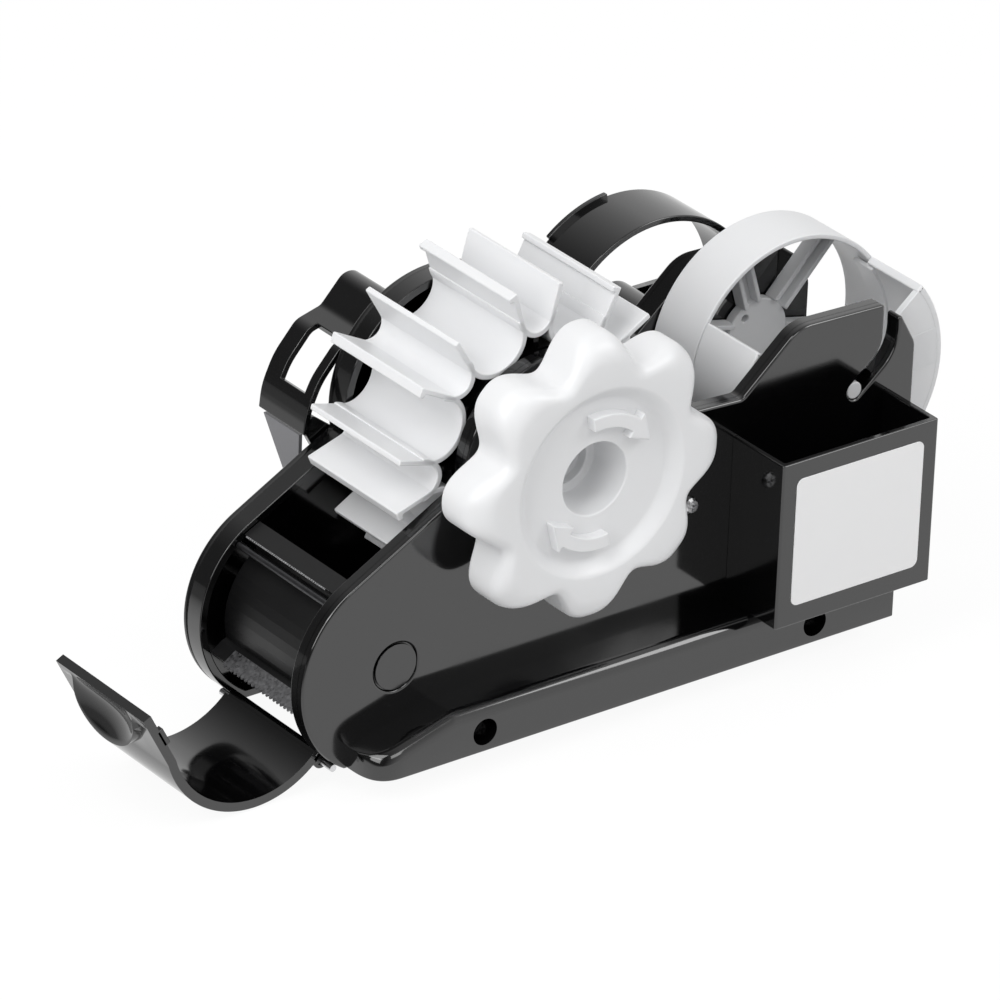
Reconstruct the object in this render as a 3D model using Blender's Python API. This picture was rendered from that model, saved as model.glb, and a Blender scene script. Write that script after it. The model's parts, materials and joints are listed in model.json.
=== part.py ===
"""Multi-roll tape dispenser with a turning paddle wheel, modelled as an assembly.

Two side plates carry everything. Between them a paddle wheel is turned by a lobed
knob, a core for tape rolls sits in two J-shaped slots, and the nose holds two
serrated blades behind a hinged front cover. A pen box hangs on the right plate.
Outside the left plate are a second core and a curved tape guide arm.

Design frame: X runs to the rear from the wheel's axis, Y runs to the left from the
middle of the space between the plates, and Z runs up from a level a little below the
plates' lower edges. Every object is a child of one empty, which moves the whole model
so that the middle of its bounding box stands over the origin.
"""

import math

import bmesh
import bpy
import numpy as np
from mathutils import Vector

MM = 0.001

# Clearances
GAP = 0.3 * MM                  # between pieces that touch
OVERRUN = 2.0 * MM              # how far a cutter passes the face that it cuts
MIN_SIZE = 0.5 * MM             # the thinnest end of a lofted shape

# Number of segments round a full circle
ROUND = 48
SMALL_STEPS = 24
SCREW_STEPS = 12

# Side plates
INNER_WIDTH = 44.8 * MM         # free space between the rims of the two plates
RIGHT_DEPTH = 5.6 * MM
LEFT_DEPTH = 8.8 * MM
PANEL = 2.6 * MM
RIM = 2.6 * MM
UNDERSIDE = 4.0 * MM            # the plates' lower edge
WHEEL_Z = 86.9 * MM
NOSE_X = -52.7 * MM
NOSE_Z = 32.2 * MM
NOSE_R = 33.0 * MM
SLOPE = math.radians(29.0)
RIGHT_HUMP_R = 30.0 * MM
LEFT_HUMP_R = 36.0 * MM
LOW_TOP_Z = 84.1 * MM
HUMP_FOOT_Z = 86.2 * MM
POCKET_END_X = 62.0 * MM
TOWER_FOOT_X = 70.3 * MM
TOWER_FRONT_X = 90.4 * MM
TOWER_FRONT_Z = 101.9 * MM
TOWER_REAR_X = 126.2 * MM
TOWER_REAR_Z = 100.8 * MM
REAR_X = 134.9 * MM
REAR_SHOULDER_Z = 85.5 * MM
REAR_KNEE_Z = 64.0 * MM
REAR_FOOT_X = 123.0 * MM
TOWER_FRONT_ROUND = 12.0 * MM
TOWER_REAR_ROUND = 6.0 * MM
TOWER_FOOT_ROUND = 3.0 * MM
REAR_ROUND = 6.0 * MM
NOSE_MARK_R = 7.2 * MM          # shallow round mark at the centre of the nose
NOSE_MARK_LINE = 0.4 * MM

# Slots that take the stubs of the roll core
CORE_X = 112.8 * MM
CORE_Z = 75.2 * MM
CORE_R = 37.8 * MM
STUB_R = 2.7 * MM
SLOT_PLAY = 0.1 * MM
SLOT_X = 125.2 * MM
SLOT_RISE = math.radians(40.0)
SLOT_BEND = 12.0 * MM

# Foot flanges
FOOT_REACH = 13.3 * MM
FOOT_HEIGHT = 15.1 * MM
FOOT_FRONT_DROP = 5.0 * MM
FOOT_FRONT_X = -68.6 * MM
FOOT_NOSE = 11.0 * MM
FOOT_NOSE_POWER = 3            # how square the front end is in plan, 2 for an ellipse
FOOT_SLOPE_X = -42.0 * MM
FOOT_REAR_X = 120.5 * MM
FOOT_ROUND = 4.0 * MM
FOOT_ROOT = 1.2 * MM            # how deep the flange runs into the plate
FOOT_HOLE_R = 4.2 * MM
FOOT_HOLE_DEPTH = 11.0 * MM
FOOT_HOLE_Z = 10.6 * MM
FOOT_HOLE_FRONT_X = -30.3 * MM
FOOT_HOLE_REAR_X = 90.7 * MM

# Rubber feet
PAD_R = 7.0 * MM
PAD_HEIGHT = 7.6 * MM
PAD_INSET = 12.0 * MM
PAD_FRONT_X = -38.0 * MM
PAD_REAR_X = 104.0 * MM
PAD_EDGE = 1.0 * MM

# Floor between the plates
FLOOR_THICK = 3.0 * MM
FLOOR_FRONT_X = -62.0 * MM
FLOOR_REAR_X = 116.0 * MM
FLOOR_BLOCK_W = 12.0 * MM
FLOOR_BLOCK_H = 13.0 * MM

# Tie rods and their screws
ROD_R = 4.0 * MM
SIDE_ROD_X = 52.4 * MM
SIDE_ROD_Z = 54.6 * MM
TAIL_ROD_X = 112.0 * MM
TAIL_ROD_GAP = 4.4 * MM          # below the roll core
TAIL_ROD_Z = CORE_Z - CORE_R - TAIL_ROD_GAP - ROD_R
NOSE_ROD_R = 6.0 * MM
SCREWED_THROUGH = "side_rod"     # the only rod with a screw in the right plate
SCREW_HEAD_R = 2.6 * MM
SCREW_HEAD_T = 1.4 * MM
SCREW_SHANK_R = 1.3 * MM
SCREW_LENGTH = 9.0 * MM
CROSS_WIDTH = 0.7 * MM
CROSS_DEPTH = 0.8 * MM
CROSS_SPAN = 3.4 * MM

# Pen box on the right plate
BOX_FRONT_X = 67.3 * MM
BOX_LENGTH = 58.0 * MM
BOX_DEPTH = 23.7 * MM
BOX_HEIGHT = 53.5 * MM
BOX_WALL = 2.0 * MM
LABEL_SIDE = 5.3 * MM
LABEL_TOP = 5.6 * MM
LABEL_FOOT = 6.4 * MM
LABEL_THICK = 0.3 * MM
LABEL_ROUND = 2.4 * MM

# Hinge of the front cover
HINGE_X = -73.7 * MM
HINGE_Z = 5.3 * MM
LUG_R = 3.3 * MM
LUG_WIDTH = 5.2 * MM
BARREL_R = 2.6 * MM
PIN_R = 1.1 * MM

# Front cover, in its open pose
COVER_REACH = 32.9 * MM
COVER_OPEN = math.radians(135.1)
COVER_R = 31.4 * MM
COVER_WALL = 2.8 * MM
COVER_ARC_END = math.radians(196.0)
FLAP_LENGTH = 19.0 * MM
FLAP_FLARE = math.radians(12.0)
COVER_SIDE_GAP = 0.5 * MM
SCOOP_TOP = 1.5 * MM             # from the flap's tip to the finger scoop
SCOOP_REACH = 14.1 * MM
SCOOP_RISE = 5.4 * MM
SCOOP_DEPTH = 3.0 * MM
SCOOP_HALF = 14.8 * MM
SCOOP_SIDE = 1.2 * MM
SCOOP_LIP_SHARE = 0.08
SCOOP_FOOT = 1.6 * MM
SCOOP_SHORT = 0.3                # its length at the sides, of its length in the middle
SCOOP_STEPS = 12
BOWL_STEPS = 4

# Blades
BLADE_THICK = 0.6 * MM
UPPER_PITCH = 1.2 * MM
LOWER_PITCH = 1.75 * MM
TOOTH_HEIGHT = 0.9 * MM
UPPER_BLADE_X = -72.4 * MM
UPPER_BLADE_Z = 57.6 * MM
UPPER_BLADE_WIDTH = 38.6 * MM
UPPER_BLADE_DEEP = 2.6 * MM
UPPER_SEAT_DEEP = 6.0 * MM
UPPER_BLADE_TILT = math.radians(28.0)
UPPER_BLADE_MID = 0.0 * MM
LOWER_BLADE_X = -83.4 * MM
LOWER_BLADE_Z = 22.4 * MM
LOWER_BLADE_WIDTH = 35.0 * MM
LOWER_BLADE_DEEP = 6.0 * MM
LOWER_BLADE_TILT = math.radians(36.0)
LOWER_BLADE_MID = -3.0 * MM
BLADE_SHOW = 1.6 * MM           # how far the blades stand past their seats
BLADE_BAR_R = 1.1 * MM
BLADE_BAR_X = -72.6 * MM
BLADE_BAR_Z = 55.2 * MM
CHUTE_R = 23.5 * MM
CHUTE_WALL = 2.2 * MM
CHUTE_START = math.radians(123.0)
CHUTE_END = math.radians(196.0)

# Paddle wheel
STATIONS = 8
STATION_PHASE = math.radians(113.4)
PADDLE_WIDTH = 43.4 * MM
WALL_THICK = 1.8 * MM
NOTCH_R = 39.0 * MM
NOTCH_HALF = math.radians(14.8)
LIP_R = 50.5 * MM
LIP_HALF = math.radians(13.05)
TROUGH_DEPTH = 7.3 * MM
SADDLE_DEPTH = 2.8 * MM
LIP_OVERHANG = 1.5 * MM
TROUGH_STEPS = 10
SADDLE_STEPS = 5
SADDLE_SLOT_W = 1.6 * MM
SADDLE_SLOT_L = 3.0 * MM
SADDLE_SLOT_IN = 1.6 * MM
RIB_THICK = 1.8 * MM
CORE_DRUM_WALL = 2.4 * MM
CORE_HALF_LENGTH = 20.0 * MM
CORE_WEB = 2.4 * MM
CORE_HUB_R = 9.0 * MM
SHAFT_R = 4.0 * MM
BUSH_R = 6.0 * MM
BUSH_STAND = 0.5 * MM
BOSS_R = 9.5 * MM
CLIP_R = 7.0 * MM
CLIP_T = 1.2 * MM
SHAFT_TAIL = 2.4 * MM

# Knob
KNOB_STAND = 8.3 * MM           # between the plate and the back of the knob
KNOB_THICK = 16.4 * MM
KNOB_HUB_R = 14.0 * MM
KNOB_SEAT = 3.8 * MM             # between the plate and the shaft's end
KNOB_R = 45.4 * MM
KNOB_VALLEY = 9.6 * MM
KNOB_LOBES = 8
KNOB_FACE_ROUND = 8.5 * MM
KNOB_BACK_ROUND = 1.5 * MM
KNOB_DISC_R = 27.6 * MM
KNOB_DISC_SINK = 3.6 * MM
KNOB_DISC_SLOPE = 1.4 * MM
KNOB_HOLE_R = 11.35 * MM
KNOB_HOLE_FOOT_R = 10.4 * MM
KNOB_HOLE_DEPTH = 14.2 * MM
KNOB_STEP_R = 7.7 * MM
KNOB_FACE_STEPS = 4
KNOB_STEPS_PER_LOBE = 9
KNOB_SCREW_R = 5.4 * MM
KNOB_SCREW_T = 1.2 * MM
ARROW_R = 19.2 * MM
ARROW_WIDTH = 4.3 * MM
ARROW_HEAD = 8.8 * MM
ARROW_RISE = 3.4 * MM
ARROW_TAIL = math.radians(100.5)
ARROW_SWEEP = math.radians(72.5)
ARROW_NECK_SHARE = 0.67
ARROW_STEPS = 7

# Roll core between the plates
CORE_WALL = 1.7 * MM
CORE_WIDTH = 44.0 * MM
RING_WIDTH = 19.8 * MM
CORE_HUB = 11.0 * MM
CORE_HUB_T = 3.4 * MM
SPOKES = 6
SPOKE_PHASE = math.radians(39.0)
SPOKE_WIDTH = 6.4 * MM
SPOKE_FLANGE = 1.5 * MM
SPOKE_DEEP = 5.0 * MM
SPOKE_WEB = 1.6 * MM
SHOE_WALL = 2.6 * MM
SHOE_HALF = math.radians(30.5)
BAR_TILT = math.radians(3.5)
TONGUE_LENGTH = 7.0 * MM
TONGUE_ROOT = 3.0 * MM
TONGUE_WALL = 1.5 * MM
TONGUE_INSET = math.radians(1.5)
BAR_HEIGHT = 12.0 * MM
BAR_THICK = 2.6 * MM
CLAMP_HUB_R = 9.0 * MM
STUB_END = 0.4 * MM             # how far the stubs stop short of the plates' outer faces

# Second core outside the left plate
SIDE_CORE_X = 84.6 * MM
SIDE_CORE_Z = 76.2 * MM
SIDE_CORE_R = 38.2 * MM
SIDE_CORE_WALL = 2.0 * MM
SIDE_CORE_STAND = 0.8 * MM
SIDE_CORE_WIDTH = 21.8 * MM
SIDE_TAB_RISE = 1.6 * MM
SIDE_TAB_THICK = 1.6 * MM
SIDE_TAB_HALF = math.radians(17.0)
SIDE_TAB_AT = math.radians(113.0)
SIDE_HUB_R = 9.0 * MM
SIDE_AXLE_R = 5.0 * MM
SIDE_CAP_R = 8.0 * MM
SIDE_BAR_HEIGHT = 11.0 * MM
SIDE_BAR_THICK = 2.6 * MM

# Tape guide arm outside the left plate
ARM_WIDTH = 22.4 * MM
ARM_WALL = 2.0 * MM
ARM_LIP_X = -43.0 * MM
ARM_LIP_DROP = 8.5 * MM          # heights of the arm's corners below or above the wheel's axis
ARM_LIP_Z = WHEEL_Z - ARM_LIP_DROP
ARM_BELLY_X = -42.3 * MM
ARM_BELLY_DROP = 1.6 * MM
ARM_BELLY_Z = WHEEL_Z - ARM_BELLY_DROP
ARM_BOW_X = -38.4 * MM
ARM_BOW_RISE = 7.1 * MM
ARM_BOW_Z = WHEEL_Z + ARM_BOW_RISE
ARM_SHOULDER_X = -31.0 * MM
ARM_SHOULDER_RISE = 15.6 * MM
ARM_SHOULDER_Z = WHEEL_Z + ARM_SHOULDER_RISE
ARM_NECK_RUN = 8.8 * MM
ARM_NECK_RISE = 2.4 * MM
ARM_TOP_RUN = 7.6 * MM
ARM_TOP_RISE = 8.3 * MM
ARM_CREST_RUN = 3.4 * MM
ARM_HOOK_RUN = 4.8 * MM
ARM_HOOK_DROP = 4.4 * MM
ARM_BEND = 20.0 * MM
ARM_ROUND = 4.0 * MM
ARM_PLATE_THICK = 2.4 * MM
ARM_PLATE_REAR_X = -30.0 * MM
ARM_PLATE_REAR_DROP = 10.9 * MM
ARM_PLATE_REAR_Z = WHEEL_Z - ARM_PLATE_REAR_DROP
ARM_PLATE_FOOT_X = -36.0 * MM
ARM_PLATE_FOOT_DROP = 20.9 * MM
ARM_PLATE_FOOT_Z = WHEEL_Z - ARM_PLATE_FOOT_DROP
ARM_HEAD_REAR = 2.4 * MM
ARM_HEAD_FRONT = 2.2 * MM
ARM_HEAD_DROP = 6.4 * MM
WINDOW_EDGE = 6.9 * MM
WINDOW_WIDTH = 11.8 * MM
WINDOW_FOOT_RISE = 2.3 * MM
WINDOW_HEIGHT = 15.8 * MM
WINDOW_LOW_Z = WHEEL_Z + WINDOW_FOOT_RISE
WINDOW_HIGH_Z = WINDOW_LOW_Z + WINDOW_HEIGHT
WINDOW_REACH = 14.0 * MM
WINDOW_TOP_X = -28.4 * MM
ROLLER_R = 2.6 * MM
ROLLER_BACK = 1.2 * MM
ROLLER_DROP = 4.3 * MM
ROLLER_PIN_R = 1.2 * MM
ARM_SCREW_BACK = 0.2 * MM
ARM_SCREW_RISE = 2.5 * MM
ARM_SCREW_LOW_X = -34.8 * MM
ARM_SCREW_LOW_DROP = 12.9 * MM
ARM_SCREW_LOW_Z = WHEEL_Z - ARM_SCREW_LOW_DROP
GUSSET_THICK = 1.2 * MM
GUSSET_DROP = 20.0 * MM
GUSSET_FOOT = 3.0 * MM
GUSSET_INSET = 2.0 * MM

# Derived corners of the guide arm
ARM_NECK_X = ARM_SHOULDER_X + ARM_NECK_RUN
ARM_NECK_Z = ARM_SHOULDER_Z + ARM_NECK_RISE
ARM_TOP_X = ARM_NECK_X + ARM_TOP_RUN
ARM_TOP_Z = ARM_NECK_Z + ARM_TOP_RISE
ARM_CREST_X = ARM_TOP_X + ARM_CREST_RUN
ARM_HOOK_X = ARM_CREST_X + ARM_HOOK_RUN
ARM_HOOK_Z = ARM_TOP_Z - ARM_HOOK_DROP
ARM_HEAD_REAR_X = ARM_HOOK_X + ARM_HEAD_REAR
ARM_HEAD_FOOT_X = ARM_NECK_X + ARM_HEAD_FRONT
ARM_HEAD_FOOT_Z = ARM_NECK_Z - ARM_HEAD_DROP
ROLLER_X = ARM_CREST_X - ROLLER_BACK
ROLLER_Z = ARM_TOP_Z - ROLLER_DROP
ARM_SCREW_X = ARM_CREST_X + ARM_SCREW_BACK
ARM_SCREW_Z = ARM_HEAD_FOOT_Z + ARM_SCREW_RISE

# Derived faces of the frame
RIGHT_IN = -INNER_WIDTH / 2
LEFT_IN = INNER_WIDTH / 2
RIGHT_OUT = RIGHT_IN - RIGHT_DEPTH
LEFT_OUT = LEFT_IN + LEFT_DEPTH

COLOURS = {
    "black_plastic": ((0.012, 0.012, 0.013), 0.18, 0.0),
    "white_plastic": ((0.80, 0.81, 0.83), 0.32, 0.0),
    "grey_plastic": ((0.62, 0.63, 0.65), 0.38, 0.0),
    "steel": ((0.62, 0.62, 0.63), 0.28, 1.0),
    "rubber": ((0.03, 0.03, 0.03), 0.75, 0.0),
    "label": ((0.86, 0.86, 0.87), 0.45, 0.0),
}


def clear_scene():
    """Remove every object of the scene."""
    for obj in list(bpy.data.objects):
        bpy.data.objects.remove(obj, do_unlink=True)


def material(slot, name):
    """A Principled material with the colour, roughness and metallic value of a slot."""
    colour, roughness, metallic = COLOURS[slot]
    mat = bpy.data.materials.new(f"{name}_{slot}")
    mat.use_nodes = True
    shader = mat.node_tree.nodes["Principled BSDF"]
    shader.inputs["Base Color"].default_value = (*colour, 1.0)
    shader.inputs["Roughness"].default_value = roughness
    shader.inputs["Metallic"].default_value = metallic
    mat.diffuse_color = (*colour, 1.0)
    return mat


# Outlines

def polar(cx, cz, r, angle):
    """The point at an angle and a distance from a centre, in the X-Z plane."""
    return (cx + r * math.cos(angle), cz + r * math.sin(angle))


def arc(cx, cz, r, start, end, steps):
    """Points along an arc, both ends included."""
    return [polar(cx, cz, r, start + (end - start) * i / steps) for i in range(steps + 1)]


def arc_steps(start, end):
    """How many segments an arc takes at the model's usual fineness."""
    return max(2, round(abs(end - start) / (2 * math.pi) * ROUND))


def fillet(points, closed=True):
    """Round the corners of a polyline whose points are (x, z, radius)."""
    out = []
    count = len(points)
    for i, (x, z, r) in enumerate(points):
        ends = not closed and i in (0, count - 1)
        if r <= 0 or ends:
            out.append((x, z))
            continue
        here = Vector((x, z))
        before = (Vector(points[i - 1][:2]) - here)
        after = (Vector(points[(i + 1) % count][:2]) - here)
        half = before.angle(after) / 2
        run = min(r / math.tan(half), before.length / 2, after.length / 2)
        r = run * math.tan(half)
        middle = here + (before.normalized() + after.normalized()).normalized() * (r / math.sin(half))
        first = here + before.normalized() * run - middle
        last = here + after.normalized() * run - middle
        turn = math.atan2(first.x * last.y - first.y * last.x, first.dot(last))
        start = math.atan2(first.y, first.x)
        steps = max(2, arc_steps(0, turn))
        out += arc(middle.x, middle.y, r, start, start + turn, steps)
    return out


def band(path, width):
    """A closed outline of a strip of even width, centred on an open path, with mitred bends."""
    pts = np.array(path, dtype=float)
    step = np.diff(pts, axis=0)
    step /= np.linalg.norm(step, axis=1)[:, None]
    normal = np.stack([-step[:, 1], step[:, 0]], axis=1)
    side = np.vstack([normal[:1], normal[:-1] + normal[1:], normal[-1:]])
    side /= np.linalg.norm(side, axis=1)[:, None]
    lean = (side * np.vstack([normal[:1], normal])).sum(axis=1)
    side *= (width / 2 / lean)[:, None]
    return [tuple(p) for p in pts + side] + [tuple(p) for p in (pts - side)[::-1]]


# Solids

def finish(obj, slot, smooth=True):
    """Give a finished piece its material and its shading."""
    obj.data.materials.append(material(slot, obj.name))
    if smooth:
        obj.data.shade_smooth()
        obj.data.set_sharp_from_angle(angle=math.radians(32))
    return obj


def solid(name, verts, faces, at=(0, 0, 0)):
    """A closed mesh object whose faces point outwards, as a child of the model's empty."""
    mesh = bpy.data.meshes.new(name)
    mesh.from_pydata([tuple(v) for v in verts], [], faces)
    work = bmesh.new()
    work.from_mesh(mesh)
    bmesh.ops.recalc_face_normals(work, faces=work.faces)
    work.to_mesh(mesh)
    work.free()
    obj = bpy.data.objects.new(name, mesh)
    obj.location = at
    obj.parent = ROOT
    bpy.context.scene.collection.objects.link(obj)
    return obj


def prism(name, outline, y0, y1, at=(0, 0, 0)):
    """An outline in the X-Z plane, extruded along Y."""
    count = len(outline)
    verts = [(x, y0, z) for x, z in outline] + [(x, y1, z) for x, z in outline]
    faces = [list(range(count)), list(range(2 * count - 1, count - 1, -1))]
    faces += [[i, (i + 1) % count, (i + 1) % count + count, i + count] for i in range(count)]
    return solid(name, verts, faces, at)


def block(name, low, high, at=(0, 0, 0)):
    """A box between two corners."""
    outline = [(low[0], low[2]), (high[0], low[2]), (high[0], high[2]), (low[0], high[2])]
    return prism(name, outline, low[1], high[1], at)


def turned(name, profile, at=(0, 0, 0), segments=ROUND, upright=False):
    """A profile of (radius, height) points turned about the Y axis, or about Z if upright."""
    verts = []
    rings = []
    for r, h in profile:
        count = 1 if r == 0 else segments
        rings.append([len(verts) + i % count for i in range(segments)])
        for i in range(count):
            a = 2 * math.pi * i / segments
            u, v = r * math.cos(a), r * math.sin(a)
            verts.append((u, v, h) if upright else (u, h, v))
    faces = []
    last = 1 if profile[0][0] == 0 else 0
    for k in range(len(rings) - last):
        low, high = rings[k], rings[(k + 1) % len(rings)]
        for i in range(segments):
            j = (i + 1) % segments
            faces.append(list(dict.fromkeys((low[i], low[j], high[j], high[i]))))
    return solid(name, verts, faces, at)


def cylinder(name, r, y0, y1, at=(0, 0, 0), segments=ROUND):
    """A round bar along Y."""
    return prism(name, arc(0, 0, r, 0, 2 * math.pi * (1 - 1 / segments), segments - 1), y0, y1, at)


def tool(obj):
    """Mark an object as a tool of a Boolean, which isn't a piece itself."""
    obj.hide_render = True
    obj.display_type = "WIRE"
    return obj


def boolean(obj, other, operation):
    """Cut or fuse a piece with a tool object."""
    mod = obj.modifiers.new(other.name, "BOOLEAN")
    mod.operation = operation
    mod.solver = "EXACT"
    mod.object = tool(other)
    return obj


def cut(obj, other):
    """Take a tool's shape out of a piece."""
    return boolean(obj, other, "DIFFERENCE")


def fuse(obj, other):
    """Make a tool's shape part of a piece."""
    return boolean(obj, other, "UNION")


def loft(name, sections, at=(0, 0, 0), ring=False):
    """A skin over sections of equally many points, with flat ends or closed into a ring."""
    count = len(sections[0])
    total = len(sections) * count
    verts = [p for section in sections for p in section]
    faces = [] if ring else [list(range(count)), list(range(total - 1, total - count - 1, -1))]
    for k in range(len(sections) if ring else len(sections) - 1):
        base, above = k * count, (k + 1) * count % total
        for i in range(count):
            j = (i + 1) % count
            faces.append([base + i, base + j, above + j, above + i])
    return solid(name, verts, faces, at)


def sheet(name, outline, origin, across, along, thick):
    """An outline in the plane of two directions, thickened to both sides."""
    normal = across.cross(along).normalized() * thick / 2
    flat = [origin + across * a + along * b for a, b in outline]
    count = len(flat)
    verts = [p - normal for p in flat] + [p + normal for p in flat]
    faces = [list(range(count)), list(range(2 * count - 1, count - 1, -1))]
    faces += [[i, (i + 1) % count, (i + 1) % count + count, i + count] for i in range(count)]
    return solid(name, verts, faces)


def cross_cut(body, name, head, outward, at):
    """Cut a cross recess into the head of a screw that points along Y."""
    deep = head - outward * CROSS_DEPTH
    past = head + outward * OVERRUN
    low, high = min(deep, past), max(deep, past)
    long, short = CROSS_SPAN / 2, CROSS_WIDTH / 2
    inner = [(long, short), (short, short), (short, long), (-short, long), (-short, short), (-long, short)]
    outline = inner + [(-x, -z) for x, z in inner]
    cut(body, prism(f"{name}_cross", outline, low, high, at))


def screw(name, x, z, face, outward, length):
    """A cross-head screw along Y: its head sits on the face, its shank runs inwards."""
    head = face + outward * SCREW_HEAD_T
    edge = face + outward * SCREW_HEAD_T / 2
    tip = face - outward * length
    profile = [(0, head), (SCREW_HEAD_R - SCREW_HEAD_T / 2, head), (SCREW_HEAD_R, edge),
               (SCREW_HEAD_R, face), (SCREW_SHANK_R, face), (SCREW_SHANK_R, tip), (0, tip)]
    body = turned(name, profile, (x, 0, z), SCREW_STEPS)
    cross_cut(body, name, head, outward, (x, 0, z))
    return body


# Side plates

def nose_and_hump(hump_r, inset):
    """The outline from the underside round the nose, up the slope and over the hump."""
    r = NOSE_R - inset
    start = math.pi + math.asin((NOSE_Z - UNDERSIDE - inset) / r)
    end = math.pi / 2 + SLOPE
    points = arc(NOSE_X, NOSE_Z, r, start, end, arc_steps(start, end))
    foot = Vector(points[-1])
    along = Vector((math.cos(SLOPE), math.sin(SLOPE)))
    hump = hump_r - inset
    to_axis = Vector((0, WHEEL_Z)) - foot
    near = to_axis.dot(along)
    off = abs(to_axis.x * along.y - to_axis.y * along.x)
    meet = foot + along * (near - math.sqrt(hump ** 2 - off ** 2))
    first = math.atan2(meet.y - WHEEL_Z, meet.x)
    if first < 0:
        first += 2 * math.pi
    last = math.asin((HUMP_FOOT_Z - inset - WHEEL_Z) / hump)
    return points + arc(0, WHEEL_Z, hump, first, last, arc_steps(first, last))


def plate_outline(hump_r):
    """Side view of a plate, from the nose over the hump and the tower to the rear foot."""
    rear = [
        (TOWER_FOOT_X, LOW_TOP_Z, TOWER_FOOT_ROUND),
        (TOWER_FRONT_X, TOWER_FRONT_Z, TOWER_FRONT_ROUND),
        (TOWER_REAR_X, TOWER_REAR_Z, TOWER_REAR_ROUND),
        (REAR_X, REAR_SHOULDER_Z, REAR_ROUND),
        (REAR_X, REAR_KNEE_Z, REAR_ROUND),
        (REAR_FOOT_X, UNDERSIDE, 0),
    ]
    front = [(x, z, 0) for x, z in nose_and_hump(hump_r, 0.0)]
    return fillet(front + rear)


def slot_path():
    """Middle line of the J-shaped slot, from above the tower down to the stub's seat."""
    knee_z = CORE_Z + (SLOT_X - CORE_X) * math.tan(SLOT_RISE)
    above = TOWER_FRONT_Z + OVERRUN
    return fillet([(SLOT_X, above, 0), (SLOT_X, knee_z, SLOT_BEND), (CORE_X, CORE_Z, 0)], closed=False)


def slot_cutter(name, y0, y1):
    """The slot's shape: a band along its middle line, with a round end at the seat."""
    half = STUB_R + SLOT_PLAY
    path = slot_path()
    sides = band(path, 2 * half)
    count = len(path)
    heading = SLOT_RISE + math.pi
    end = arc(CORE_X, CORE_Z, half, heading - math.pi / 2, heading + math.pi / 2, SMALL_STEPS // 2)
    outline = sides[:count - 1] + end[::-1] + sides[count + 1:]
    return prism(name, outline, y0, y1)


def foot_section(x, face, outward):
    """One cross-section of a foot flange at a place along X."""
    ahead = max(0.0, min(1.0, (x - FOOT_FRONT_X) / FOOT_NOSE))
    full = max(0.0, 1 - (1 - ahead) ** FOOT_NOSE_POWER) ** (1 / FOOT_NOSE_POWER)
    reach = FOOT_REACH * full + MIN_SIZE
    back = max(0.0, min(1.0, (x - FOOT_FRONT_X) / (FOOT_SLOPE_X - FOOT_FRONT_X)))
    top = UNDERSIDE + FOOT_HEIGHT - FOOT_FRONT_DROP * (1 - back) ** 2
    tail = max(0.0, (x - FOOT_REAR_X + FOOT_ROUND) / FOOT_ROUND)
    top -= (FOOT_ROUND - MIN_SIZE) * (1 - math.sqrt(max(0.0, 1 - tail ** 2)))
    r = min(FOOT_ROUND, reach / 2)
    root = -FOOT_ROOT
    corner = arc(reach - r, top - r, r, 0, math.pi / 2, 5)
    section = [(root, UNDERSIDE), (reach, UNDERSIDE)] + corner + [(root, top)]
    return [(x, face + outward * y, z) for y, z in section]


def foot_flange(name, face, outward):
    """The foot flange along the lower edge of a plate, with a boat-shaped front end."""
    shares = (0.0, 0.02, 0.08, 0.2, 0.4, 0.7, 1.0)
    places = [FOOT_FRONT_X + FOOT_NOSE * s for s in shares]
    places += [FOOT_SLOPE_X]
    places += [FOOT_REAR_X - FOOT_ROUND * s for s in (1.0, 0.5, 0.2, 0.0)]
    return loft(name, [foot_section(x, face, outward) for x in places])


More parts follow.
